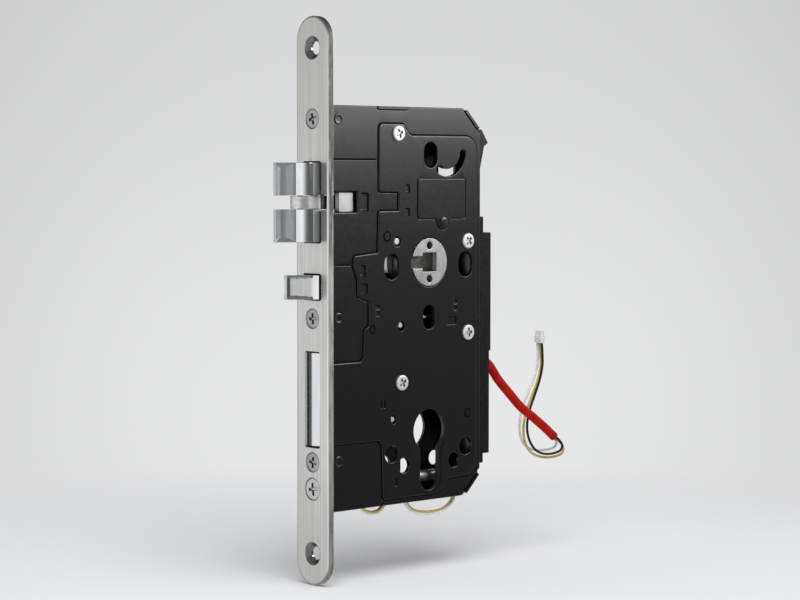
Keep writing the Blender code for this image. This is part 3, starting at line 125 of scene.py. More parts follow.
fill, ceiling, table = 0.5, 0.22, 0.4
view_way = (-0.7325, 0.6807, 0.0)
ring_scale = 1.25
ring_levels = (
    (-180, 0.25), (-165, 0.32), (-152, 0.88), (-122, 0.95), (-100, 1.15), (-80, 1.3), (-72, 1.05),
    (-66, 0.8), (-58, 0.54), (-50, 0.34), (-32, 0.2), (-10, 0.14), (15, 0.1), (45, 0.09), (57, 0.17),
    (66, 0.6), (80, 0.5), (100, 0.7), (137, 0.85), (152, 0.42), (165, 0.28), (180, 0.25))
field = bpy.data.worlds.new("studio_field")
scene.world = field
field.use_nodes = True
tree = field.node_tree
tree.nodes.clear()
where = new_node(tree, "ShaderNodeTexCoord").outputs["Generated"]
parts = new_node(tree, "ShaderNodeSeparateXYZ", where).outputs
straight_on = new_node(tree, "ShaderNodeVectorMath", where, view_way, operation="DOT_PRODUCT")
upward_fall = ranged(tree, parts["Z"], -0.2, 0.09, 0.88, 0.7)
sideways_fall = ranged(tree, straight_on.outputs["Value"], 0.975, 1, 0.84, 1)
seen_level = combined(tree, "MULTIPLY", upward_fall, sideways_fall)
bearing = combined(tree, "ARCTAN2", parts["Y"], parts["X"])
ring = new_node(tree, "ShaderNodeValToRGB", ranged(tree, bearing, -np.pi, np.pi, 0, 1, "LINEAR"))
ring.color_ramp.elements.remove(ring.color_ramp.elements[1])
for degrees, level in ring_levels:
    stop = ring.color_ramp.elements[0]
    if degrees > -180:
        stop = ring.color_ramp.elements.new((degrees + 180) / 360)
    stop.color = (level / ring_scale, level / ring_scale, level / ring_scale, 1)
ring_level = combined(tree, "MULTIPLY", ring.outputs["Color"], ring_scale)
glossy_level = mixed(tree, ranged(tree, parts["Z"], 0.2, 0.5, 0, 1), ring_level, ceiling)
glossy_level = mixed(tree, ranged(tree, parts["Z"], -0.3, -0.6, 0, 1), glossy_level, table)
ray = new_node(tree, "ShaderNodeLightPath").outputs
shiny = combined(tree, "MAXIMUM", ray["Is Glossy Ray"], ray["Is Transmission Ray"])
fill_level = mixed(tree, shiny, fill, glossy_level)
light_level = mixed(tree, ray["Is Camera Ray"], fill_level, seen_level)
glow = new_node(tree, "ShaderNodeBackground", (0.985, 0.99, 1, 1), light_level)
new_node(tree, "ShaderNodeOutputWorld", glow.outputs[0])


# Lamps: a broad soft box overhead for matt surfaces and the floor, and a nearer one up to the right that
# sheens the top of the cover.
def soft_box(name, spot, aim, size, power, shines):
    """A rectangular area lamp at a spot, facing a point: a shine for glossy surfaces or else plain light."""
    lamp = bpy.data.lights.new(name, "AREA")
    lamp.shape = "RECTANGLE"
    lamp.size, lamp.size_y = size
    lamp.energy = power
    holder = bpy.data.objects.new(name, lamp)
    holder.location = spot
    holder.rotation_euler = (Vector(aim) - Vector(spot)).to_track_quat("-Z", "Y").to_euler()
    holder.visible_camera = False
    holder.visible_glossy = shines
    holder.visible_diffuse = not shines
    scene.collection.objects.link(holder)


soft_box("overhead_box", (0.36, -0.16, 0.78), (0, 0.04, -0.1), (0.7, 0.7), 6.7, False)
soft_box("cover_box", (0.225, 0.262, 0.18), (0, 0.045, 0.07), (0.3, 0.16), 0.93, True)


# Faceplate: a 3 mm strip of brushed stainless steel with round ends, milled out for the latch, the control
# latch and the dead bolt, and countersunk for its screws. Its front edge is broken, its rim left as sheared.
# Outlines here and below are in millimetres; a piece's points become metres when its mesh is made.
MM = 0.001


def arc_points(centre, radius, start, end, steps):
    """Points on a circle between two angles in degrees."""
    turn = np.radians(np.linspace(start, end, steps + 1))
    return np.column_stack([centre[0] + radius * np.cos(turn), centre[1] + radius * np.sin(turn)])


def circle_loop(centre, radius, steps=48):
    """A whole circle, anticlockwise."""
    return arc_points(centre, radius, 0, 360, steps)[:-1]


def slot_loop(centre, width, height, steps=24):
    """An upright slot: two half circles joined by straight sides."""
    rise = (height - width) / 2
    upper = arc_points((centre[0], centre[1] + rise), width / 2, 0, 180, steps)
    return np.concatenate([upper, arc_points((centre[0], centre[1] - rise), width / 2, 180, 360, steps)])


def rounded_loop(corners, steps=6):
    """A closed outline, anticlockwise: each corner (a, b, radius) becomes the arc that touches both sides."""
    corners = np.asarray(corners, float)
    spot, radius = corners[:, :2], corners[:, 2]
    back, ahead = np.roll(spot, 1, 0) - spot, np.roll(spot, -1, 0) - spot
    back /= np.linalg.norm(back, axis=1, keepdims=True)
    ahead /= np.linalg.norm(ahead, axis=1, keepdims=True)
    half = np.arccos(np.clip((back * ahead).sum(1), -0.999999, 0.999999)) / 2
    inward = (back + ahead) / np.linalg.norm(back + ahead, axis=1, keepdims=True)
    centre = spot + inward * (radius / np.sin(half))[:, None]
    first = spot + back * (radius / np.tan(half))[:, None] - centre
    way = np.sign(back[:, 1] * ahead[:, 0] - back[:, 0] * ahead[:, 1])
    turn = np.linspace(0, 1, steps + 1)[None] * ((np.pi - 2 * half) * way)[:, None]
    across = centre[:, :1] + first[:, :1] * np.cos(turn) - first[:, 1:] * np.sin(turn)
    upright = centre[:, 1:] + first[:, :1] * np.sin(turn) + first[:, 1:] * np.cos(turn)
    loop = np.stack([across, upright], -1).reshape(-1, 2)
    loop = loop[np.linalg.norm(loop - np.roll(loop, 1, 0), axis=1) > 1e-4]
    following = np.roll(loop, -1, 0)
    area = (loop[:, 0] * following[:, 1] - loop[:, 1] * following[:, 0]).sum()
    return loop if area > 0 else loop[::-1]


def box_loop(low, high, radius, steps=6):
    """A rectangle between two opposite corners, all four rounded by one radius."""
    (a, b), (c, d) = low, high
    return rounded_loop([(a, b, radius), (c, b, radius), (c, d, radius), (a, d, radius)], steps)


def offset_loop(loop, distance):
    """The outline moved outwards by a distance, each corner along its mitre."""
    ahead = np.roll(loop, -1, 0) - loop
    ahead /= np.linalg.norm(ahead, axis=1, keepdims=True)
    normal = np.column_stack([ahead[:, 1], -ahead[:, 0]])
    before = np.roll(normal, 1, 0)
    return loop + distance * (normal + before) / (1 + (normal * before).sum(1, keepdims=True))


def place_points(flat, depth, axis):
    """Flat points set at a depth along an axis: x carries (y, z), y carries (x, z) and z carries (x, y)."""
    depth = np.broadcast_to(depth, flat.shape[:-1])
    a, b = flat[..., 0], flat[..., 1]
    return np.stack({"x": (depth, a, b), "y": (a, depth, b), "z": (a, b, depth)}[axis], -1)


def ring_wall(rings):
    """Quads between closed rings of points, each ring joined to the next."""
    levels, around = rings.shape[:2]
    index = np.arange(levels * around).reshape(levels, around)
    right = np.roll(index, -1, 1)
    quads = np.stack([index[:-1], right[:-1], right[1:], index[1:]], -1)
    return rings.reshape(-1, 3), quads.reshape(-1, 4)


def edge_wall(loop, profile, axis):
    """A profile swept along an outline: each (offset, depth) of it gives one ring."""
    rings = [place_points(offset_loop(loop, grow), depth, axis) for grow, depth in profile]
    return ring_wall(np.stack(rings))


def flat_face(loops, depth, axis):
    """A flat face at a depth, inside the first outline and outside the others: Delaunay triangles held to
    the outlines, kept where a line from the triangle's middle crosses the outlines an odd number of times."""
    points = np.concatenate(loops)
    index = np.split(np.arange(len(points)), np.cumsum([len(loop) for loop in loops])[:-1])
    edges = np.concatenate([np.column_stack([part, np.roll(part, -1)]) for part in index])
    found = delaunay_2d_cdt([Vector(point) for point in points], edges.tolist(), [], 0, 1e-6)
    spots, triangles = np.array([spot[:] for spot in found[0]]), np.array(found[2])
    middle = spots[triangles].mean(1)[:, None]
    first, last = points[edges[:, 0]][None], points[edges[:, 1]][None]
    spans = (first[..., 1] > middle[..., 1]) != (last[..., 1] > middle[..., 1])
    rise = np.where(spans, last[..., 1] - first[..., 1], 1)
    meets = first[..., 0] + (middle[..., 1] - first[..., 1]) / rise * (last[..., 0] - first[..., 0])
    inside = (spans & (meets > middle[..., 0])).sum(1) % 2 == 1
    return place_points(spots, depth, axis), triangles[inside]


def edge_profile(low, high, low_round, high_round, steps=4):
    """The rounded edge of a plate between two depths: a quarter circle at each face."""
    turn = np.linspace(0, np.pi / 2, steps + 1)
    lower = np.column_stack([-low_round * (1 - np.sin(turn)), low + low_round * (1 - np.cos(turn))])
    upper = np.column_stack([-high_round * (1 - np.cos(turn)), high - high_round * (1 - np.sin(turn))])
    return np.concatenate([lower, upper])


def rings_at(pairs, end):
    """The outlines of (outline, profile) pairs where one end of their profiles brings them."""
    return [offset_loop(loop, profile[end][0]) for loop, profile in pairs]


def plate_surfaces(axis, outer, through=()):
    """A plate from (outline, profile) pairs: the swept walls of its edge and of its holes, and a flat face
    through the first and the last rings of them all."""
    pairs = (outer, *through)
    surfaces = [edge_wall(loop, profile, axis) for loop, profile in pairs]
    return surfaces + [flat_face(rings_at(pairs, end), outer[1][end][1], axis) for end in (0, -1)]


def make_piece(name, surfaces, finish, body, nodes=(), sharp=38, others=()):
    """One closed object from its surfaces: shared points merged, faces turned outwards, sharp edges kept.
    A surface that carries a number takes that one of the other finishes."""
    points, faces, marks, start = [], [], [], 0
    for spots, corners, *mark in surfaces:
        points.append(spots)
        faces += (corners + start).tolist()
        marks += [mark[0] if mark else 0] * len(corners)
        start += len(spots)
    mesh = bpy.data.meshes.new(name)
    mesh.from_pydata((np.concatenate(points) * MM).tolist(), [], faces)
    for layer in (finish, *others):
        mesh.materials.append(layer)
    mesh.polygons.foreach_set("material_index", marks)
    shape = bmesh.new()
    shape.from_mesh(mesh)
    bmesh.ops.remove_doubles(shape, verts=shape.verts, dist=2e-6)
    bmesh.ops.dissolve_degenerate(shape, edges=shape.edges, dist=1e-7)
    bmesh.ops.recalc_face_normals(shape, faces=shape.faces)
    shape.to_mesh(mesh)
    shape.free()
    mesh.shade_smooth()
    mesh.set_sharp_from_angle(angle=np.radians(sharp))
    piece = bpy.data.objects.new(name, mesh)
    scene.collection.objects.link(piece)
    even = piece.modifiers.new("even_shading", "WEIGHTED_NORMAL")
    even.keep_sharp = True
    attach(piece, body)
    if nodes:
        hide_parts(*nodes)
    return piece


def new_finish(name, colour, roughness, metallic, specular=0.5):
    """A Principled finish with its even values set on the shader itself."""
    finish = bpy.data.materials.new(name)
    finish.use_nodes = True
    shader = finish.node_tree.nodes["Principled BSDF"]
    shader.inputs["Base Color"].default_value = (*colour, 1)
    shader.inputs["Roughness"].default_value = roughness
    shader.inputs["Metallic"].default_value = metallic
    shader.inputs["Specular IOR Level"].default_value = specular
    return finish


def grain(finish, scale, detail=3, blur=0.5):
    """Noise on the piece's own coordinates, in cycles per metre: one scale, or three along x, y and z."""
    tree = finish.node_tree
    where = new_node(tree, "ShaderNodeTexCoord").outputs["Object"]
    stretch = new_node(tree, "ShaderNodeMapping", where)
    stretch.inputs["Scale"].default_value = np.broadcast_to(scale, 3).astype(float)
    noise = new_node(tree, "ShaderNodeTexNoise", stretch.outputs["Vector"])
    noise.inputs["Scale"].default_value = 1
    noise.inputs["Detail"].default_value = detail
    noise.inputs["Roughness"].default_value = blur
    return noise.outputs["Fac"]


def vary_roughness(finish, pattern, low, high):
    """Roughness that follows a pattern between two values."""
    tree = finish.node_tree
    shader = tree.nodes["Principled BSDF"]
    tree.links.new(ranged(tree, pattern, 0.3, 0.7, low, high), shader.inputs["Roughness"])


def vary_colour(finish, pattern, dark, light):
    """Colour that follows a pattern between a dark and a light tone."""
    tree = finish.node_tree
    blend = new_node(tree, "ShaderNodeMix", ranged(tree, pattern, 0.3, 0.7, 0, 1), data_type="RGBA")
    blend.inputs[6].default_value = (*dark, 1)
    blend.inputs[7].default_value = (*light, 1)
    tree.links.new(blend.outputs[2], tree.nodes["Principled BSDF"].inputs["Base Color"])


def graded(finish, pattern, axis, low, high, at_low, at_high):
    """A pattern with a smooth change along one axis of the piece, in millimetres, added to it."""
    tree = finish.node_tree
    where = new_node(tree, "ShaderNodeTexCoord").outputs["Object"]
    place = new_node(tree, "ShaderNodeSeparateXYZ", where).outputs[axis]
    return combined(tree, "ADD", pattern, ranged(tree, place, low * MM, high * MM, at_low, at_high))


def add_relief(finish, pattern, depth):
    """Fine relief of a pattern, its depth in millimetres."""
    tree = finish.node_tree
    relief = new_node(tree, "ShaderNodeBump")
    relief.inputs["Strength"].default_value = 1
    relief.inputs["Distance"].default_value = depth * MM
    tree.links.new(pattern, relief.inputs["Height"])
    tree.links.new(relief.outputs["Normal"], tree.nodes["Principled BSDF"].inputs["Normal"])


def varied_finish(name, colour, spread, roughness, play, mottle, wear=None, metallic=1, specular=0.5):
    """A finish whose colour wanders by its spread and whose roughness by its play, either way, each with
    the grain (scale, detail, blur) of its own. Without wear the roughness is even."""
    finish = new_finish(name, colour, roughness, metallic, specular)
    vary_colour(finish, grain(finish, *mottle), np.subtract(colour, spread), np.add(colour, spread))
    if wear:
        vary_roughness(finish, grain(finish, *wear), roughness - play, roughness + play)
    return finish


brushed_and_end_shaded = new_finish("brushed_stainless_end_shaded", (0.62, 0.615, 0.6), 0.34, 1)
# The tone darkens smoothly towards the plate's top and bottom ends: painted shade, laid over the brush grain.
brush_grain_and_end_shade = graded(brushed_and_end_shaded, grain(brushed_and_end_shaded, (1100, 300, 9), 5, 0.65), "Z", -117, -50, -0.15, 0.05)
brush_grain_and_end_shade = graded(brushed_and_end_shaded, brush_grain_and_end_shade, "Z", 10, 117, 0, -0.22)
vary_colour(brushed_and_end_shaded, brush_grain_and_end_shade, (0.53, 0.525, 0.505), (0.69, 0.685, 0.67))
vary_roughness(brushed_and_end_shaded, grain(brushed_and_end_shaded, (900, 300, 30), 2), 0.26, 0.4)
add_relief(brushed_and_end_shaded, grain(brushed_and_end_shaded, (2200, 600, 16), 3, 0.6), 0.02)
sheared_rim_and_shade = new_finish("sheared_edge_and_painted_shade", (0.42, 0.415, 0.405), 0.6, 1)
# The rim is darker than the face and darker still towards the top: partly its sheared finish, partly painted
# shade.
rim_streaks_and_top_shade = graded(sheared_rim_and_shade, grain(sheared_rim_and_shade, (300, 500, 60), 4, 0.6), "Z", -25, 95, 0.13, -0.26)
vary_colour(sheared_rim_and_shade, rim_streaks_and_top_shade, (0.16, 0.158, 0.154), (0.66, 0.652, 0.64))
vary_roughness(sheared_rim_and_shade, grain(sheared_rim_and_shade, (300, 900, 240), 3), 0.54, 0.68)
# The countersink cones are turned smooth, and their darker tone stands for the shade inside them: painted
# shade.
cone_tone_and_shade = varied_finish(
    "turned_cone_painted_shade", (0.36, 0.355, 0.345), 0.05, 0.14, 0.04, ((200, 900, 200), 3), ((400, 1500, 400), 3))
# Walls of holes, recesses and openings, the follower's step face behind its slot and the latch tail inside
# the case take this dark steel: painted shade.
dark_steel_painted_shade = varied_finish("dark_steel_painted_shade", (0.14, 0.14, 0.13), 0.03, 0.5, 0.08, (500, 4), (900, 3))
shaded = varied_finish("shaded_wall", (0.02, 0.02, 0.02), 0.004, 0.7, 0, (500, 4), None, 0, 0)
rim_mark, cone_mark, opening_mark, latch_mark = 1, 2, 3, 4

plate_width, plate_height, plate_thickness = 20, 235, 3
back_edge = edge_profile(0, plate_thickness, 0.15, 0.15, 6)[:7]
front_edge = [(0, 2.55), (-0.03, 2.62), (-0.12, 2.7), (-0.62, 2.97), (-0.8, plate_thickness)]
plate_edge = np.concatenate([back_edge, front_edge]) * (1, -1)
opening_edge = edge_profile(0, plate_thickness, 0.1, 0.18, 3) * (-1, -1)
latch_side = [
    (5.45, 24.25, 0.8), (5.45, 37.8, 0), (9, 37.8, 0.8), (9, 44.2, 0.8), (5.45, 44.2, 0), (5.45, 57.75, 0.8)]
latch_hole = rounded_loop(latch_side + [(-a, b, radius) for a, b, radius in latch_side[::-1]])
control_hole = box_loop((-5.45, 0.65), (5.45, 11.55), 0.8)
bolt_hole = box_loop((-4.65, -60.4), (4.65, -20.6), 0.8)
post_levels = {"upper": 75.3, "middle": -7, "lower": -66.5}
cylinder_screw_level = -77.6
sunk_holes = [(104.4, 5.5, 9.5), (-104.4, 5.5, 9.5)]
sunk_holes += [(level, 4.6, 8.2) for level in post_levels.values()] + [(cylinder_screw_level, 5.6, 9.3)]


def sunk_profile(hole, sink):
    """A countersunk hole from the plate's back to its front, with the rim of the cone just broken."""
    cone = (sink - hole) / 2
    return [(0.1, 0), (0, -0.1), (0, cone - 3), (cone - 0.15, -2.85), (cone + 0.05, -2.94), (cone + 0.25, -3)]


plate_holes = [(loop, opening_edge) for loop in (latch_hole, control_hole, bolt_hole)]
for level, hole, sink in sunk_holes:
    plate_holes.append((circle_loop((0, level), hole / 2), sunk_profile(hole, sink)))
plate_outline = slot_loop((0, 0), plate_width, plate_height, 40)
surfaces = plate_surfaces("y", (plate_outline, plate_edge), plate_holes)
surfaces[0] = edge_wall(plate_outline, plate_edge[:7], "y")
# The latch and control openings' walls and the countersink cones take darker finishes than the face: painted
# shade.
surfaces[1] = (*surfaces[1], latch_mark)
surfaces[2] = (*surfaces[2], opening_mark)
surfaces[4:10] = [(*wall, cone_mark) for wall in surfaces[4:10]]
surfaces.append(edge_wall(plate_outline, plate_edge[7:], "y"))
# The rim's flat side takes the sheared finish, darkened towards the top by painted shade.
surfaces.append((*edge_wall(plate_outline, plate_edge[6:8], "y"), rim_mark))
make_piece("faceplate_fine", surfaces, brushed_and_end_shaded, "case", ["faceplate"],
           others=(sheared_rim_and_shade, cone_tone_and_shade, dark_steel_painted_shade, shaded))


# Screws in the faceplate: three dull countersunk machine screws into the front posts and the long cylinder
# screw in bright zinc plating, all turned steel with a cross recess.
zinc = varied_finish("zinc_plating", (0.62, 0.625, 0.62), 0.04, 0.45, 0.05, (260, 4, 0.6), (500, 3))
dulled = varied_finish("dulled_steel", (0.4, 0.4, 0.395), 0.06, 0.36, 0.06, (400, 4, 0.6), (800, 3))


def cross_loop(centre, span, arm, turn):
    """A cross with rounded corners about a centre, turned by an angle: one arm's corners set four times."""
    quarter = np.array([(span / 2, -arm / 2), (span / 2, arm / 2), (arm / 2, arm / 2)])
    corners = []
    for angle in np.radians(turn + np.array((0, 90, 180, 270))):
        c, s = np.cos(angle), np.sin(angle)
        corners.append(quarter @ np.array([(c, s), (-s, c)]) + centre)
    return rounded_loop(np.column_stack([np.concatenate(corners), np.full(12, 0.14)]), 3)


def screw_surfaces(axis, centre, radius, profile, span, arm, depth, turn):
    """A turned screw from tip to head, with a tapered cross recess sunk in its flat crown."""
    loop, crown = circle_loop(centre, radius, 40), profile[-1][1]
    way = np.sign(crown - profile[0][1])
    cross = cross_loop(centre, span, arm, turn)
    recess = [(0.08, crown), (0, crown - way * 0.08), (-0.2, crown - way * depth)]
    surfaces = [edge_wall(loop, profile, axis), edge_wall(cross, recess[:2], axis)]
    # The recess walls take the piece's second finish, a dark one: painted shade.
    surfaces.append((*edge_wall(cross, recess[1:], axis), 1))
    surfaces.append(flat_face(rings_at([(loop, profile)], 0), profile[0][1], axis))
    surfaces.append(flat_face(rings_at([(loop, profile)], -1) + rings_at([(cross, recess)], 0), crown, axis))
    surfaces.append(flat_face(rings_at([(cross, recess)], -1), recess[-1][1], axis))
    return surfaces


plate_screws = [("faceplate_screw_" + label, level, 7.6, 4, 12.5, turn, dulled)
                for (label, level), turn in zip(post_levels.items(), (12, 4, -5))]
plate_screws.append(("cylinder_screw", cylinder_screw_level, 8.7, 5, 70, 8, zinc))
for name, level, head, shank, length, turn, finish in plate_screws:
    cone = (head - shank) / 2
    steps = [(-cone - 0.4, length - 3), (-cone, length - 3.4), (-cone, cone - 2.75)]
    steps += [(0, -2.6), (-0.08, -2.7), (-0.3, -2.75)]
    screw = screw_surfaces("y", (0, level), head / 2, steps, 0.6 * head, 1.15, 0.8, turn)
    make_piece(name + "_fine", screw, finish, "case", [name], others=(dark_steel_painted_shade,))


# Case tray: the far side plate with its walls bent up, pressed from 1.2 mm sheet and dipped in black
# coat. The posts, springs and levers inside stand on it.
coat = varied_finish(
    "black_dip_coat", (0.0025, 0.0025, 0.0028), 0.0005, 0.31, 0.02, (160, 5, 0.6), (700, 3), 0, 0.8)
add_relief(coat, grain(coat, 2200, 2), 0.004)


def dress_node(name, finish, edge, sharp=40):
    """Finish on a kept solid: its triangles welded, its edges broken by a small bevel, its shading evened."""
    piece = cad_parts[name]
    piece.data.materials.clear()
    piece.data.materials.append(finish)
    piece.data.shade_smooth()
    weld = piece.modifiers.new("weld", "WELD")
    weld.merge_threshold = 5e-6
    if edge:
        broken = piece.modifiers.new("broken_edges", "BEVEL")
        broken.width = edge * MM
        broken.segments = 2
        broken.limit_method = "ANGLE"
        broken.angle_limit = np.radians(sharp)
        broken.use_clamp_overlap = True
        broken.harden_normals = True
    even = piece.modifiers.new("even_shading", "WEIGHTED_NORMAL")
    even.keep_sharp = True


dress_node("case_tray", coat, 0.18)


# Case cover: pressed sheet with the same coat, its middle raised 0.6 mm in one stamping with a crease round
# its foot. Holes are punched for the follower, the cylinder, handle bolts and setting tools.
# The crease round the panel and the walls of the pressed marks take a darker, duller coat: painted shade.
crease_shade_coat = varied_finish("coat_painted_shade_in_creases", (0.002, 0.002, 0.002), 0.0005, 0.6, 0, (500, 3), None, 0, 0.15)
cover_in, cover_out, panel_out = 5.3, 6.5, 7.1
spindle, cylinder, access_pivot = (57, 15), (57, -57), (65.1, 32.1)
post_depth = 5.7
cover_screws = (
    ("top", (38.9, 69.7), 20), ("rear_upper", (80, 23.6), 45), ("rear_lower", (80.1, -16.1), 5),
    ("front", (40.9, -35.7), 30))
cover_outline = rounded_loop([
    (0.3, -87.2, 0.3), (29.6, -87.2, 0.3), (30.1, -85.6, 0.5), (31.9, -85.6, 0.5), (32.4, -87.2, 0.3),
    (76.98, -87.2, 0.6), (88.3, -75.88, 0.6), (88.3, 69.68, 0.6), (76.98, 81, 0.6), (44.8, 81, 0.4),
    (44.8, 79.5, 0.3), (27.6, 79.5, 0.3), (27.6, 81, 0.4), (0.3, 81, 0.3), (0.3, 45.35, 0.2),
    (16.2, 45.35, 0.4), (16.2, 36.65, 0.4), (0.3, 36.65, 0.2)])
panel_outline = rounded_loop([
    (28.1, 73.6, 2), (42, 73.6, 2.4), (46.2, 68.8, 2.4), (85.7, 68.8, 7), (85.7, -73.2, 5), (81.5, -78.2, 4),
    (67.8, -78.8, 1.5), (66, -82.5, 2), (60.5, -84.6, 2), (30.6, -84.6, 1.5), (29.9, -61.6, 1),
    (27.9, -59.3, 1), (1.3, -59.3, 0.6), (1.3, -25.7, 0.6), (17.4, -25.7, 1), (19.5, -23.6, 1),
    (19.8, -12.4, 1), (22.5, -10.7, 1), (22.5, -0.4, 1), (16.2, 1.8, 1), (16, 8.5, 1), (13.6, 14.2, 1),
    (14, 18.5, 1), (27.5, 19.6, 1), (27.9, 37, 1), (39.3, 37, 0.8), (39.4, 45, 0.8), (28.1, 45.2, 1)])


def band_loop(centre, radius, width, start, end, steps=40):
    """A curved slot of even width about a centre, with round ends."""
    first, last = (arc_points(centre, radius, angle, angle, 0)[0] for angle in (start, end))
    return np.concatenate([
        arc_points(centre, radius + width / 2, start, end, steps),
        arc_points(last, width / 2, end, end + 180, 12)[1:-1],
        arc_points(centre, radius - width / 2, end, start, steps),
        arc_points(first, width / 2, start + 180, start + 360, 12)[1:-1]])


def stamped_ring(centre, radius):
    """A pressed ring: down 0.4 mm just inside its rim and up again."""
    steps = np.array([(0.25, 0), (0.1, -0.15), (0, -0.4), (-0.35, -0.4), (-0.45, -0.15), (-0.6, 0)])
    return circle_loop(centre, radius, 32), steps + (0, panel_out)


def stamped_dent(low, high, radius, depth, face):
    """A pressed rectangle with a rounded rim, sloping walls and a flat floor."""
    steps = np.array([(0.2, 0), (0.02, -0.25 * depth), (-0.25, -0.9 * depth), (-0.4, -depth)])
    return box_loop(low, high, radius, 4), steps + (0, face)


hole_loops = [circle_loop(spindle, 10.55, 72)]
hole_loops.append(np.concatenate([
    arc_points(cylinder, 9, -53.9, 233.9, 60), arc_points((57, -77.5), 5.3, 180, 360, 24)]))
hole_loops += [slot_loop((a, b), width, tall) for a, b, width, tall in (
    (57, -8.5, 7.1, 10.4), (36.4, -51, 3, 4), (35.3, 13.6, 8.5, 11), (78.7, 13.6, 8.5, 11),
    (57.8, 60.65, 7.8, 11))]
hole_loops += [circle_loop((a, b), wide / 2) for a, b, wide in (
    (35.1, -65.6, 7.5), (78.9, -65.6, 7.5), (42.2, -71.1, 6.5), (71.8, -71.1, 6.5), (40.8, -11.8, 4.2),
    (38.5, 24.2, 4.4))]
hole_loops += [circle_loop(spot, 1.7) for label, spot, turn in cover_screws]
hole_loops.append(band_loop((67.7, 62.6), 9.45, 3.2, 240, 354))
punched = edge_profile(cover_in, panel_out, 0.05, 0.32, 4) * (-1, 1)
post_edge = edge_profile(cover_in, cover_out, 0.05, 0.15, 2) * (-1, 1)
panel_holes = [(loop, punched) for loop in hole_loops]
post_holes = [(circle_loop((post_depth, level), 2.3, 24), post_edge) for level in post_levels.values()]

ring_marks = (((32.6, 26.4), 2.1), ((24.4, -12.5), 1.7), ((80.2, -51.2), 2.0))
panel_marks = [stamped_ring(*mark) for mark in ring_marks]
panel_marks += [stamped_dent(*mark, panel_out) for mark in (
    ((43.2, 44.6), (45.6, 48.2), 0.6, 0.6), ((43.2, 34.8), (45.6, 38.2), 0.6, 0.6),
    ((17.2, 9.9), (20.6, 14.8), 1.4, 0.7), ((17.8, 2.3), (21.8, 7), 0.8, 0.7),
    ((25.8, -4.1), (28.4, -2.0), 0.9, 0.5), ((25.8, -6.9), (28.4, -4.8), 0.9, 0.5),
    ((71.4, -3.5), (73.6, -1.4), 0.9, 0.5), ((71.4, -6.3), (73.6, -4.2), 0.9, 0.5),
    ((67.3, -12.4), (73.2, -8.8), 0.8, 0.5), ((28.8, -45.9), (29.8, -42.1), 0.4, 0.45),
    ((30.6, -45.9), (31.6, -42.1), 0.4, 0.45), ((37.2, -79.4), (38.3, -75.6), 0.5, 0.5))]
base_marks = [stamped_dent(*mark, cover_out) for mark in (
    ((3, 58.35), (26.6, 59.0), 0.3, 0.5), ((3.9, 14.6), (12.3, 15.25), 0.3, 0.5),
    ((18.2, 37.2), (22.8, 44.8), 0.9, 0.8))]


def plain_corners(points):
    """Points as corners without a radius."""
    return np.column_stack([points, np.zeros(len(points))])


lobe = plain_corners(arc_points(access_pivot, 3.2, 200, 340, 20))
access_outline = rounded_loop(np.concatenate([
    [(78.3, 33.6, 1), (78.3, 50.5, 1), (50.3, 50.5, 1), (50.3, 33.6, 1), (60.9, 33.6, 0.9)],
    lobe, [(69.3, 33.6, 0.9)]]))
panel_marks.append((access_outline, [(0.6, panel_out), (0.5, 7.04), (0.45, 6.8), (0.36, 6.72)]))
rim_path = np.concatenate([
    [(66.4, -61.2), (64.6, -64.6), (63.9, -67.6)], arc_points((57, -77.5), 6.9, 0, -110, 24)])
rim_way = np.gradient(rim_path, axis=0)
rim_way = np.column_stack([rim_way[:, 1], -rim_way[:, 0]]) / np.linalg.norm(rim_way, axis=1, keepdims=True)
rim_loop = np.concatenate([rim_path - 0.3 * rim_way, (rim_path + 0.3 * rim_way)[::-1]])
panel_marks.append((rim_loop, [(0.12, panel_out), (0, 7.02), (-0.12, 6.85), (-0.2, 6.8)]))

cover_edge = edge_profile(cover_in, cover_out, 0.08, 0.45, 5)
step_up = [(0.78, cover_out), (0.66, 6.46), (0.58, 6.2), (0.48, 6.12), (0.24, 6.12), (0.14, 6.2), (0.12, 6.6)]
step_up += [(0.08, 6.79), (-0.03, 6.95), (-0.19, 7.06), (-0.42, panel_out)]
cover_rim, panel_step = (cover_outline, cover_edge), (panel_outline, step_up)
surfaces = [edge_wall(loop, profile, "x") for loop, profile in (cover_rim, *panel_holes, *post_holes)]
surfaces += [edge_wall(panel_outline, part, "x") for part in (step_up[:2], step_up[6:])]
# The crease's walls take the darker coat: painted shade.
surfaces.append((*edge_wall(panel_outline, step_up[1:7], "x"), 1))
for loop, profile in panel_marks + base_marks:
    surfaces.append(edge_wall(loop, profile[:2], "x"))
    surfaces.append((*edge_wall(loop, profile[1:], "x"), 1))
    surfaces.append(flat_face(rings_at([(loop, profile)], -1), profile[-1][1], "x"))
surfaces.append(flat_face(rings_at([cover_rim, *panel_holes, *post_holes], 0), cover_in, "x"))
outer_rings = rings_at([cover_rim], -1) + rings_at([panel_step], 0)
outer_rings += rings_at(post_holes, -1) + rings_at(base_marks, 0)
surfaces.append(flat_face(outer_rings, cover_out, "x"))
panel_rings = rings_at([panel_step, *panel_holes], -1) + rings_at(panel_marks, 0)
surfaces.append(flat_face(panel_rings, panel_out, "x"))
make_piece("case_cover_fine", surfaces, coat, "case", ["case_cover"], others=(crease_shade_coat,))


# Front posts: turned steel pillars between the side plates that the faceplate screws bite into. Their ends
# are riveted over in the plates and were coated with them.
rivet_end = np.array([(-0.3, -1), (-0.25, 0), (0, 0.1), (-0.3, 0.3), (-0.7, 0.3), (-0.95, 0.12), (-1.3, 0.1)])
for label, level in post_levels.items():
    dress_node("front_post_" + label, zinc, 0.1)
    for side, plate in ((1, "cover"), (-1, "far")):
        steps = (rivet_end + (0, cover_out)) * (1, side)
        rivet = plate_surfaces("x", (circle_loop((post_depth, level), 2.35, 32), steps))
        make_piece("front_rivet_" + label + "_" + plate, rivet, coat, "case")


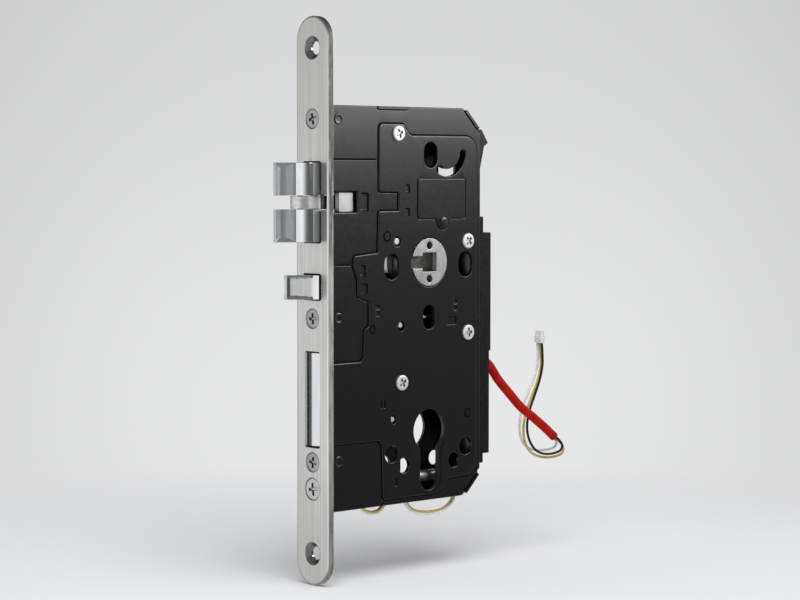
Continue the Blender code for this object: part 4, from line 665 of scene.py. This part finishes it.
# Access plate: a thin coated plate over the window for turning the latch round, swung aside on one rivet.
access = plate_surfaces("x", (access_outline, edge_profile(6.8, 7.42, 0.05, 0.3)))
make_piece("access_plate_fine", access, coat, "case", ["access_plate"])
steps = [(-1.1, 7), (-1.1, 7.4), (-0.1, 7.43), (0, 7.5), (0, 7.7), (-0.25, 7.95), (-0.7, 8.1), (-1.3, 8.16)]
rivet = plate_surfaces("x", (circle_loop(access_pivot, 2.2, 36), steps))
make_piece("access_rivet_fine", rivet, coat, "case", ["access_rivet"])


# Cover screws: four low pan-head screws with cross recesses, frosted bright zinc, into posts on the tray.
frosted = varied_finish("frosted_zinc", (0.9, 0.91, 0.92), 0.04, 0.46, 0.06, (500, 4, 0.6), (900, 3), 0.55)
turn_up = np.linspace(0, np.pi / 2, 7)
dome = np.column_stack([-0.4 * (1 - np.cos(turn_up)), 7.5 + 0.45 * np.sin(turn_up)])
shank = [(-2, -1.4), (-1.8, -1.1), (-1.8, 7.12), (-0.1, 7.12), (0, 7.2)]
steps = np.concatenate([shank, dome, [(-0.8, 8.0)]])
for label, spot, turn in cover_screws:
    dress_node("cover_post_" + label, zinc, 0.1)
    name = "cover_screw_" + label
    screw = screw_surfaces("x", np.array(spot), 3.25, steps, 3.9, 1.15, 0.7, turn)
    make_piece(name + "_fine", screw, frosted, "case", [name], others=(dark_steel_painted_shade,))


# Latch: a sintered steel head in two claws, each with a scooped and then bulging bevel, ground bright. The
# scoop ends short of the claw's outer end in a lip. Behind it are a bright pad that shows in the cover's
# notch, the tail plate and the lever's pin.
steel = (0.66, 0.67, 0.68)
polished = varied_finish(
    "ground_steel", steel, 0.04, 0.195, 0.035, ((900, 900, 60), 4, 0.6), ((700, 700, 60), 3))
lapped = varied_finish("lapped_steel", steel, 0.06, 0.3, 0, ((900, 900, 60), 4, 0.6))
lapping = graded(lapped, grain(lapped, (300, 300, 900), 3), "Y", -12.8, -12.2, 0.4, -0.4)
vary_roughness(lapped, graded(lapped, lapping, "Y", -7, -6.4, 0, 0.8), 0.18, 0.52)


def lofted_block(name, levels, insets, plans, finish, body, nodes, axis="z"):
    """A closed block lofted through outlines at levels along an axis, each drawn in by its inset, with
    flat ends."""
    loops = [offset_loop(plan, -inset) for plan, inset in zip(plans, insets)]
    surfaces = [ring_wall(np.stack([place_points(loop, level, axis) for loop, level in zip(loops, levels)]))]
    surfaces += [flat_face([loops[end]], levels[end], axis) for end in (0, -1)]
    make_piece(name, surfaces, finish, body, nodes, sharp=50)


def chord_frame(first, last):
    """The step from one point to another, and the unit direction to its left."""
    step = np.subtract(last, first)
    return step, np.array((-step[1], step[0])) / np.hypot(*step)


def claw_plan(limit, rear):
    """Claw seen from above: straight back, flat nose, scoop, bulge, straight side. The scoop is a parabola
    skewed towards the nose, no deeper than the limit, and the bulge a steeper one skewed towards the side."""
    nose, dip, shoulder = (-3.2, -19.7), (0.5, -12.1), (5, -5.85)
    share = np.linspace(0, 1, 33)[:, None]
    depth = 5.4 * share * (1 - share) * (1 + 0.8 * (1 - 2 * share))
    step, inward = chord_frame(nose, dip)
    scoop = nose + share * step + np.minimum(depth, limit) * inward
    rise = 4.4 * share * (1 - share**2.3)
    step, inward = chord_frame(dip, shoulder)
    bulge = (dip + share * step - rise * inward)[1:]
    bulge[:, 0] = np.minimum(bulge[:, 0], 5)
    corners = [(-5, rear), (-5, -19.3), (-4.9, -19.58), (-4.6, nose[1])]
    return np.concatenate([corners, scoop, bulge, [(5, rear)]])


latch_level = 41
inner, outer = 2.85, 16.3
lip, lip_slope = 0.3, 0.85
edge_radius, inner_share = 0.16, 0.15
turn = np.linspace(0, np.pi / 2, 5)
round_in = edge_radius * (1 - np.sin(turn))
round_at = edge_radius * (1 - np.cos(turn))
heights = np.concatenate([
    inner + inner_share * round_at, (5.2, 5.3, 9.5, outer - 2.6), np.linspace(outer - 2.4, outer - 0.32, 14),
    outer - round_at[::-1]])
insets = np.concatenate([inner_share * round_in, np.zeros(18), round_in[::-1]])
limits = np.clip(lip_slope * (outer - lip - heights), 0, None)
plans = [claw_plan(limit, rear) for limit, rear in zip(limits, np.where(heights < 5.25, 4.6, 10))]
for label, side, nodes in (("upper", 1, ["latch_head"]), ("lower", -1, [])):
    levels = latch_level + side * heights
    lofted_block("latch_claw_" + label, levels, insets, plans, lapped, "latch", nodes)
bridge = box_loop((2.5, 7.4), (4.95, 15.2), 0.15)
lofted_block("latch_pad", (37.1, 44.9), (0, 0), (bridge, bridge), zinc, "latch", [])
# The tail inside the case takes the dark steel: painted shade.
dress_node("latch_tail", dark_steel_painted_shade, 0.15)
dress_node("friction_lever_pin", zinc, 0.1)


# Friction lever: a round-nosed steel lever between the claws that the strike pushes first, with a narrower
# neck at its pin. Its zinc has been rubbed dull.
rubbed = varied_finish(
    "rubbed_zinc", (0.72, 0.72, 0.71), 0.06, 0.46, 0.06, ((300, 300, 900), 4, 0.6), ((600, 600, 1200), 3),
    0.85)
lever_plan = rounded_loop(np.concatenate([
    plain_corners(arc_points((0, -8.2), 5, 180, 360, 40)), [(5, -3.2, 0.3), (2.4, -2.9, 0.3)],
    plain_corners(arc_points((0, -1.4), 2.4, 0, 180, 40)), [(-2.4, -2.9, 0.3), (-5, -3.2, 0.3)]]), 3)
heights = np.concatenate([-2.55 + round_at, (2.55 - round_at)[::-1]])
insets = np.concatenate([round_in, round_in[::-1]])
lofted_block("friction_lever_fine", latch_level + heights, insets, [lever_plan] * 10, rubbed,
             "friction_lever", ["friction_lever"])


# Control latch: a small bevelled bolt with a pocket let into its bevel between two rails, on a turned rod.
def control_plan(limit):
    """Control latch seen from above: straight back, flat nose, bevel, straight side. The bevel's pocket
    drops steeply behind the nose and rises in two slopes to the side, and all but its last fifth keeps to
    the limit."""
    nose, shoulder = (-3.2, -14), (5, -3.8)
    share = np.concatenate([[0, 0.02, 0.06, 0.1], np.linspace(0.14, 1, 20)])
    depth = np.interp(share, (0, 0.02, 0.06, 0.1, 0.8, 1), (0, 0.6, 2.7, 3.2, 1.0, 0))
    depth = np.where(share > 0.78, depth, np.minimum(depth, limit))
    step, inward = chord_frame(nose, shoulder)
    pocket = nose + share[:, None] * step + depth[:, None] * inward
    return np.concatenate([[(-5, 9), (-5, -13.7), (-4.9, -13.9), (-4.7, nose[1])], pocket, [(5, 9)]])


control_level, control_half = 6.1, 5
pocket_half, pocket_slope = 4.1, 5
edge = np.linspace(0.32, 1.9, 10)
heights = np.concatenate([round_at, edge]) - control_half
heights = np.concatenate([heights, -heights[::-1]])
insets = np.concatenate([round_in, np.zeros(20), round_in[::-1]])
limits = np.clip(pocket_slope * (pocket_half - np.abs(heights)), 0, None)
plans = [control_plan(limit) for limit in limits]
lofted_block("control_latch_fine", control_level + heights, insets, plans, polished, "control_latch",
             ["control_latch_head"])
dress_node("control_latch_rod", zinc, 0.1)


# Dead bolt: a steel block just behind the plate's face, its front ground in two facets that meet in an
# upright ridge, with a ramp under it that works the switch. Its tail plate is held in a slot by two rivets.
def bolt_side(dip):
    """Dead bolt seen from the side, its front set back by the dip, with the ramp along its foot."""
    front, foot, top = dip - 2.4, -59.95, -21.05
    rear = [(13.8, foot, 0), (34, -57.4, 0.3), (34, top, 0.3)]
    return rounded_loop([(front, foot, 0.4), *rear, (front, top, 0.4)])


ridge, facet_slope, bolt_half = -0.9, 0.3, 4.2
across = np.concatenate([
    round_at - bolt_half, np.linspace(-3.7, -1.2, 5), np.linspace(ridge, 3.7, 10),
    (bolt_half - round_at)[::-1]])
insets = np.concatenate([round_in, np.zeros(15), round_in[::-1]])
sides = [bolt_side(dip) for dip in facet_slope * np.abs(across - ridge)]
lofted_block("dead_bolt_fine", across, insets, sides, polished, "dead_bolt",
             ["dead_bolt_head"], "x")
dress_node("dead_bolt_tail", zinc, 0.15)
dress_node("dead_bolt_rivet_lower", zinc, 0.1)
dress_node("dead_bolt_rivet_upper", zinc, 0.1)


# Follower: a zinc-plated hub through both side plates, with the square for the spindle, a slot from it to
# the rim, and two pin holes. The arm on it draws the latch, a torsion spring returns it, and a cam shows in
# the hole beside it.
hub_back, hub_step, hub_face = -6.7, 4.8, 7.3
square = box_loop((53, 11), (61, 19), 0.25)
pins = [circle_loop((57, z), 1.6, 28) for z in (7.9, 22.1)]
hub_edge = edge_profile(hub_back, hub_step, 0.3, 0.05)
hub_hole = edge_profile(hub_back, hub_step, 0.2, 0.05, 3) * (-1, 1)
hub_holes = [(loop, hub_hole) for loop in (square, *pins)]
hub = plate_surfaces("x", (circle_loop(spindle, 10.25, 96), hub_edge), hub_holes)
# The hole walls and the step face seen through the slot take the dark steel: painted shade.
hub[1:4] = [(*wall, 1) for wall in hub[1:4]]
hub[5] = (*hub[5], 1)
rim_radius, slot_half = 10.2, 2.65
gap = np.degrees(np.arcsin(slot_half / rim_radius))
face_loop = rounded_loop(np.concatenate([
    plain_corners(arc_points(spindle, rim_radius, 180 + gap, 540 - gap, 80)),
    [(52.9, 17.65, 0.1), (52.9, 19.1, 0.25), (61.1, 19.1, 0.25), (61.1, 10.9, 0.25), (52.9, 10.9, 0.25),
     (52.9, 12.35, 0.1)]]), 4)
face_edge = edge_profile(4.6, hub_face, 0.05, 0.14)
face_hole = edge_profile(4.6, hub_face, 0.05, 0.15, 3) * (-1, 1)
hub += plate_surfaces("x", (face_loop, face_edge), [(offset_loop(loop, 0.04), face_hole) for loop in pins])
make_piece("follower_hub_fine", hub, zinc, "follower", ["follower_hub"], others=(dark_steel_painted_shade,))
cam_corners = [(a, b, 0.4) for a, b in arc_points(spindle, 16.6, 158, 196, 8)]
cam = rounded_loop(np.concatenate([cam_corners, plain_corners(arc_points(spindle, 10.6, 225, 120, 20))]), 3)
cam_plate = plate_surfaces("x", (cam, edge_profile(-4.4, -1.6, 0.1, 0.15)))
make_piece("follower_cam", cam_plate, zinc, "follower")
dress_node("follower_arm", zinc, 0.15)


# Works behind the cover: spring seats, key lever and its pin in zinc, springs in drawn steel wire, three of
# which are coiled here, and the microswitch in moulded black plastic with its spring leaf.
# Three pins and a ledge stand behind holes of the cover.
wire_steel = varied_finish("drawn_wire", (0.42, 0.42, 0.42), 0.08, 0.33, 0.07, (1500, 3), (900, 2))
moulded = varied_finish(
    "moulded_black", (0.007, 0.007, 0.0075), 0.0015, 0.42, 0.06, (200, 4), (700, 3), 0, 0.3)
add_relief(moulded, grain(moulded, 4000, 2), 0.012)
for name in ("latch_spring_seat", "control_spring_seat", "key_lever", "key_lever_pin", "key_spring_seat"):
    dress_node(name, zinc, 0.12)
for name in ("follower_spring", "switch_leaf"):
    dress_node(name, wire_steel, 0)
dress_node("microswitch", moulded, 0.2)


def route_frame(route, level):
    """Two directions square to a route at each point: the first also square to a level direction."""
    heading = np.gradient(route, axis=0)
    heading /= np.linalg.norm(heading, axis=1, keepdims=True)
    side = np.cross(heading, level)
    side /= np.linalg.norm(side, axis=1, keepdims=True)
    return side, np.cross(side, heading)


def tube_surface(route, radius, level=(1.0, 0, 0), around=20):
    """A round tube along a route, each end closed by a flat disc of two rings, the last shrunk to a point."""
    side, up = route_frame(route, level)
    turn = np.linspace(0, 2 * np.pi, around, endpoint=False)[None, :, None]
    wall = route[:, None] + radius * (np.cos(turn) * side[:, None] + np.sin(turn) * up[:, None])
    ends = []
    for centre, ring in ((route[0], wall[0]), (route[-1], wall[-1])):
        ends.append(np.stack([np.broadcast_to(centre, ring.shape), centre + 0.75 * (ring - centre)]))
    return [ring_wall(np.concatenate([ends[0], wall, ends[1][::-1]]))]


def coil_spring(name, axis, centre, ends, radius, turns, wire):
    """A helix about an axis with an even pitch between two end levels, with a mesh of its own."""
    share = np.linspace(0, 1, turns * 24 + 1)
    turn = 2 * np.pi * turns * share
    ring = np.array(centre) + radius * np.column_stack([np.cos(turn), np.sin(turn)])
    route = place_points(ring, ends[0] + (ends[1] - ends[0]) * share, axis)
    way = {"y": (0, 1.0, 0), "z": (0, 0, 1.0)}[axis]
    coil = tube_surface(route, wire / 2, way, 10)
    piece = make_piece(name + "_fine", coil, wire_steel, "case", [name], sharp=60)
    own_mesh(piece)


coil_spring("latch_spring", "y", (0, 50.5), (10.75, 38.26), 3, 7, 0.8)
coil_spring("control_latch_spring", "y", (0, 5.4), (9.73, 26.29), 3.2, 5, 0.8)
coil_spring("key_lever_spring", "z", (-3.4, 50), (-30.92, -21.56), 1.3, 5, 0.5)
tray_floor = -5.25
for name, spot, radius, top in (
    ("setting_pin", (38.9, 24.2), 1.45, 6.3), ("sight_pin", (41, -11.3), 1.2, 6.2),
    ("guide_pin", (36.4, -51), 1.2, 6.2),
):
    pin = plate_surfaces("x", (circle_loop(spot, radius, 32), edge_profile(tray_floor, top, 0.05, 0.35)))
    make_piece(name, pin, frosted, "case")
ledge = box_loop((60.6, -9.5), (67, -8.3), 0.2)
ledge_block = plate_surfaces("x", (ledge, edge_profile(tray_floor, 1, 0.05, 0.2)))
make_piece("spring_ledge", ledge_block, zinc, "case")


# Rear duct: a moulded base strip on the case's back, the channel that covers the wires, a clip above it and
# a rubber grommet where the cable comes out.
rubber = varied_finish(
    "black_rubber", (0.0145, 0.0145, 0.0145), 0.0035, 0.68, 0.08, (600, 3), (1500, 2), 0, 0.3)
for name in ("duct_base", "duct_cover", "rear_clip"):
    dress_node(name, moulded, 0.35)
dress_node("cable_grommet", rubber, 0.3)


# Cable: a red silicone sleeve over three thin wires, from the grommet to where the wires fold back.
def smooth_route(points, steps):
    """A Catmull-Rom curve through route points: each span blends the four points about it."""
    knots = np.asarray(points, float)
    held = np.concatenate([2 * knots[:1] - knots[1:2], knots, 2 * knots[-1:] - knots[-2:-1]])
    t = np.linspace(0, 1, steps, endpoint=False)[None, :, None]
    a, b, c, d = held[:-3, None], held[1:-2, None], held[2:-1, None], held[3:, None]
    spans = 0.5 * (2 * b + (c - a) * t + (2 * a - 5 * b + 4 * c - d) * t**2 + (3 * b - a - 3 * c + d) * t**3)
    return np.concatenate([spans.reshape(-1, 3), knots[-1:]])


def cord_piece(name, route, diameter, finish, slot, nodes, **facts):
    """A cord along its route, as a round tube; the facts it is given are not used."""
    piece = make_piece(name, tube_surface(route, diameter / 2), finish, "case", nodes, sharp=60)


red = varied_finish(
    "red_silicone", (0.46, 0.0105, 0.0055), (0.05, 0.0025, 0.0015), 0.51, 0.07, (260, 4), (1200, 3), 0, 0.06)
add_relief(red, grain(red, 1800, 2), 0.01)
sleeve_route = smooth_route([
    (0, 97.2, -30), (0, 99.1, -31), (0, 101.5, -33.2), (0, 106, -38.7), (0, 113.2, -45.4), (0, 120.6, -52),
    (0, 128.7, -57.3), (0, 136.3, -62.5), (0, 142.4, -67.1)], 8)
cord_piece("sleeve_fine", sleeve_route, 4, red, "red_sleeve", ["cable_sleeve"], far_end="bare",
           stiffness="stiff", lay="taut")


# Connector: a small pale nylon housing in two tiers that the three wires are crimped into.
nylon = varied_finish("white_nylon", (0.75, 0.75, 0.73), 0.05, 0.45, 0.07, (300, 4), (900, 2), 0)
lower_tier = box_loop((-7.3, 136.7), (-2.7, 139.3), 0.35)
upper_tier = box_loop((-6.9, 136.95), (-3.1, 139.05), 0.3)
housing = plate_surfaces("z", (lower_tier, edge_profile(-24.1, -20.9, 0.2, 0.2)))
housing += plate_surfaces("z", (upper_tier, edge_profile(-21, -18.62, 0.02, 0.2)))
connector = make_piece("connector_fine", housing, nylon, "case", ["connector"])


# Wires: three stranded wires in thin coloured insulation that come out of the sleeve, fold back under it
# and stand up to the connector.
wires = {
    "white": ((0.8, 0.8, 0.8), [
        (-0.7, 141.4, -66.3), (-1.2, 143.2, -67.5), (-1.6, 145.2, -69), (-2.1, 146.2, -71),
        (-3, 144.6, -72.8), (-4.4, 139.4, -73.4), (-5.7, 133.4, -72.6), (-6.4, 129, -69.6),
        (-6.5, 126.8, -64.6), (-6.5, 126.8, -58.6), (-6.5, 128.8, -52.6), (-6.5, 132.6, -46),
        (-6.5, 136.4, -39.4), (-6.5, 138.4, -33.6), (-6.5, 138.4, -28.6), (-6.4, 138, -24.4)]),
    "yellow": ((0.62, 0.46, 0.13), [
        (0, 141.5, -67.1), (0, 143.4, -68.4), (0, 146.4, -70), (-0.2, 148.9, -72.6),
        (-0.8, 148.4, -75.4), (-2.4, 143.2, -76.8), (-3.8, 136.4, -76), (-4.8, 131.2, -73),
        (-5, 128.2, -67.6), (-5, 127.6, -61.8), (-5, 129.2, -55.6), (-5, 132.6, -49),
        (-5, 136.6, -41.8), (-5, 138.9, -34.8), (-5, 138.6, -28.8), (-5, 138, -24.4)]),
    "black": ((0.012, 0.012, 0.012), [
        (0.7, 141.2, -66.5), (1.2, 143, -67.6), (1.3, 145.2, -69.4), (1.2, 146.6, -71.5),
        (0.5, 145.8, -73.8), (-1.2, 141.4, -75), (-2.4, 136, -74.2), (-3.2, 131.9, -71.2),
        (-3.5, 129.2, -66.4), (-3.5, 128.4, -61), (-3.5, 129.8, -55), (-3.5, 133, -48.4),
        (-3.5, 136.4, -41.4), (-3.5, 138.3, -34.8), (-3.5, 138.3, -28.8), (-3.6, 138, -24.4)]),
}
insulations = []
for label, (tone, points) in wires.items():
    name, tone = "wire_" + label, np.array(tone)
    insulation = varied_finish(
        name + "_insulation", 0.99 * tone, 0.11 * tone, 0.46, 0.08, (500, 3), (1500, 2), 0, 0.3)
    insulations.append((name, insulation))
    cord_piece(name + "_fine", smooth_route(points, 8), 1.1, insulation, label + "_wire", [name],
               far_end="connector", stiffness="stiff", lay="taut", with_pieces=[connector])


# Harness: three more wires laid together, led out of the case by the switch, looped twice through the
# notches in its lower wall and back in beside the rear corner. They twist once in 300 mm.
harness_route = smooth_route([
    (2, 25.7, -71), (3.4, 27.4, -72.4), (3.9, 27.6, -77.6), (3.8, 24.6, -83), (3.4, 22, -86.6),
    (3.1, 22.6, -88.4), (3, 25.2, -89.6), (3, 28.8, -90.1), (3, 32, -89.3), (3.2, 34.4, -87),
    (3.4, 36.6, -84.2), (3.4, 40, -83), (3.4, 43.8, -84), (3.2, 46.4, -86.8), (3, 48.2, -89.4),
    (3, 51.2, -91.6), (3, 55.6, -92.9), (3, 62, -93.5), (3, 68, -93), (3, 72.6, -91.2),
    (2.9, 75.2, -88.6), (2.8, 75.8, -85.6), (2.6, 75, -82.4), (2.2, 73, -79.6), (1.8, 70.4, -77.8)], 12)
twist_length, strand_offset, first_turn = 300, 0.55, -0.08
side, up = route_frame(harness_route, (1.0, 0, 0))
along = np.concatenate([[0], np.cumsum(np.linalg.norm(np.diff(harness_route, axis=0), axis=1))])
for count, (name, insulation) in enumerate(insulations):
    phase = (along / twist_length + count / 3 + first_turn)[:, None] * 2 * np.pi
    strand = harness_route + strand_offset * (np.cos(phase) * side + np.sin(phase) * up)
    cord_piece("harness_" + name, strand, 1, insulation, "black_wire", [] if count else ["wire_harness"],
               far_end="object", stiffness="stiff", lay="taut")
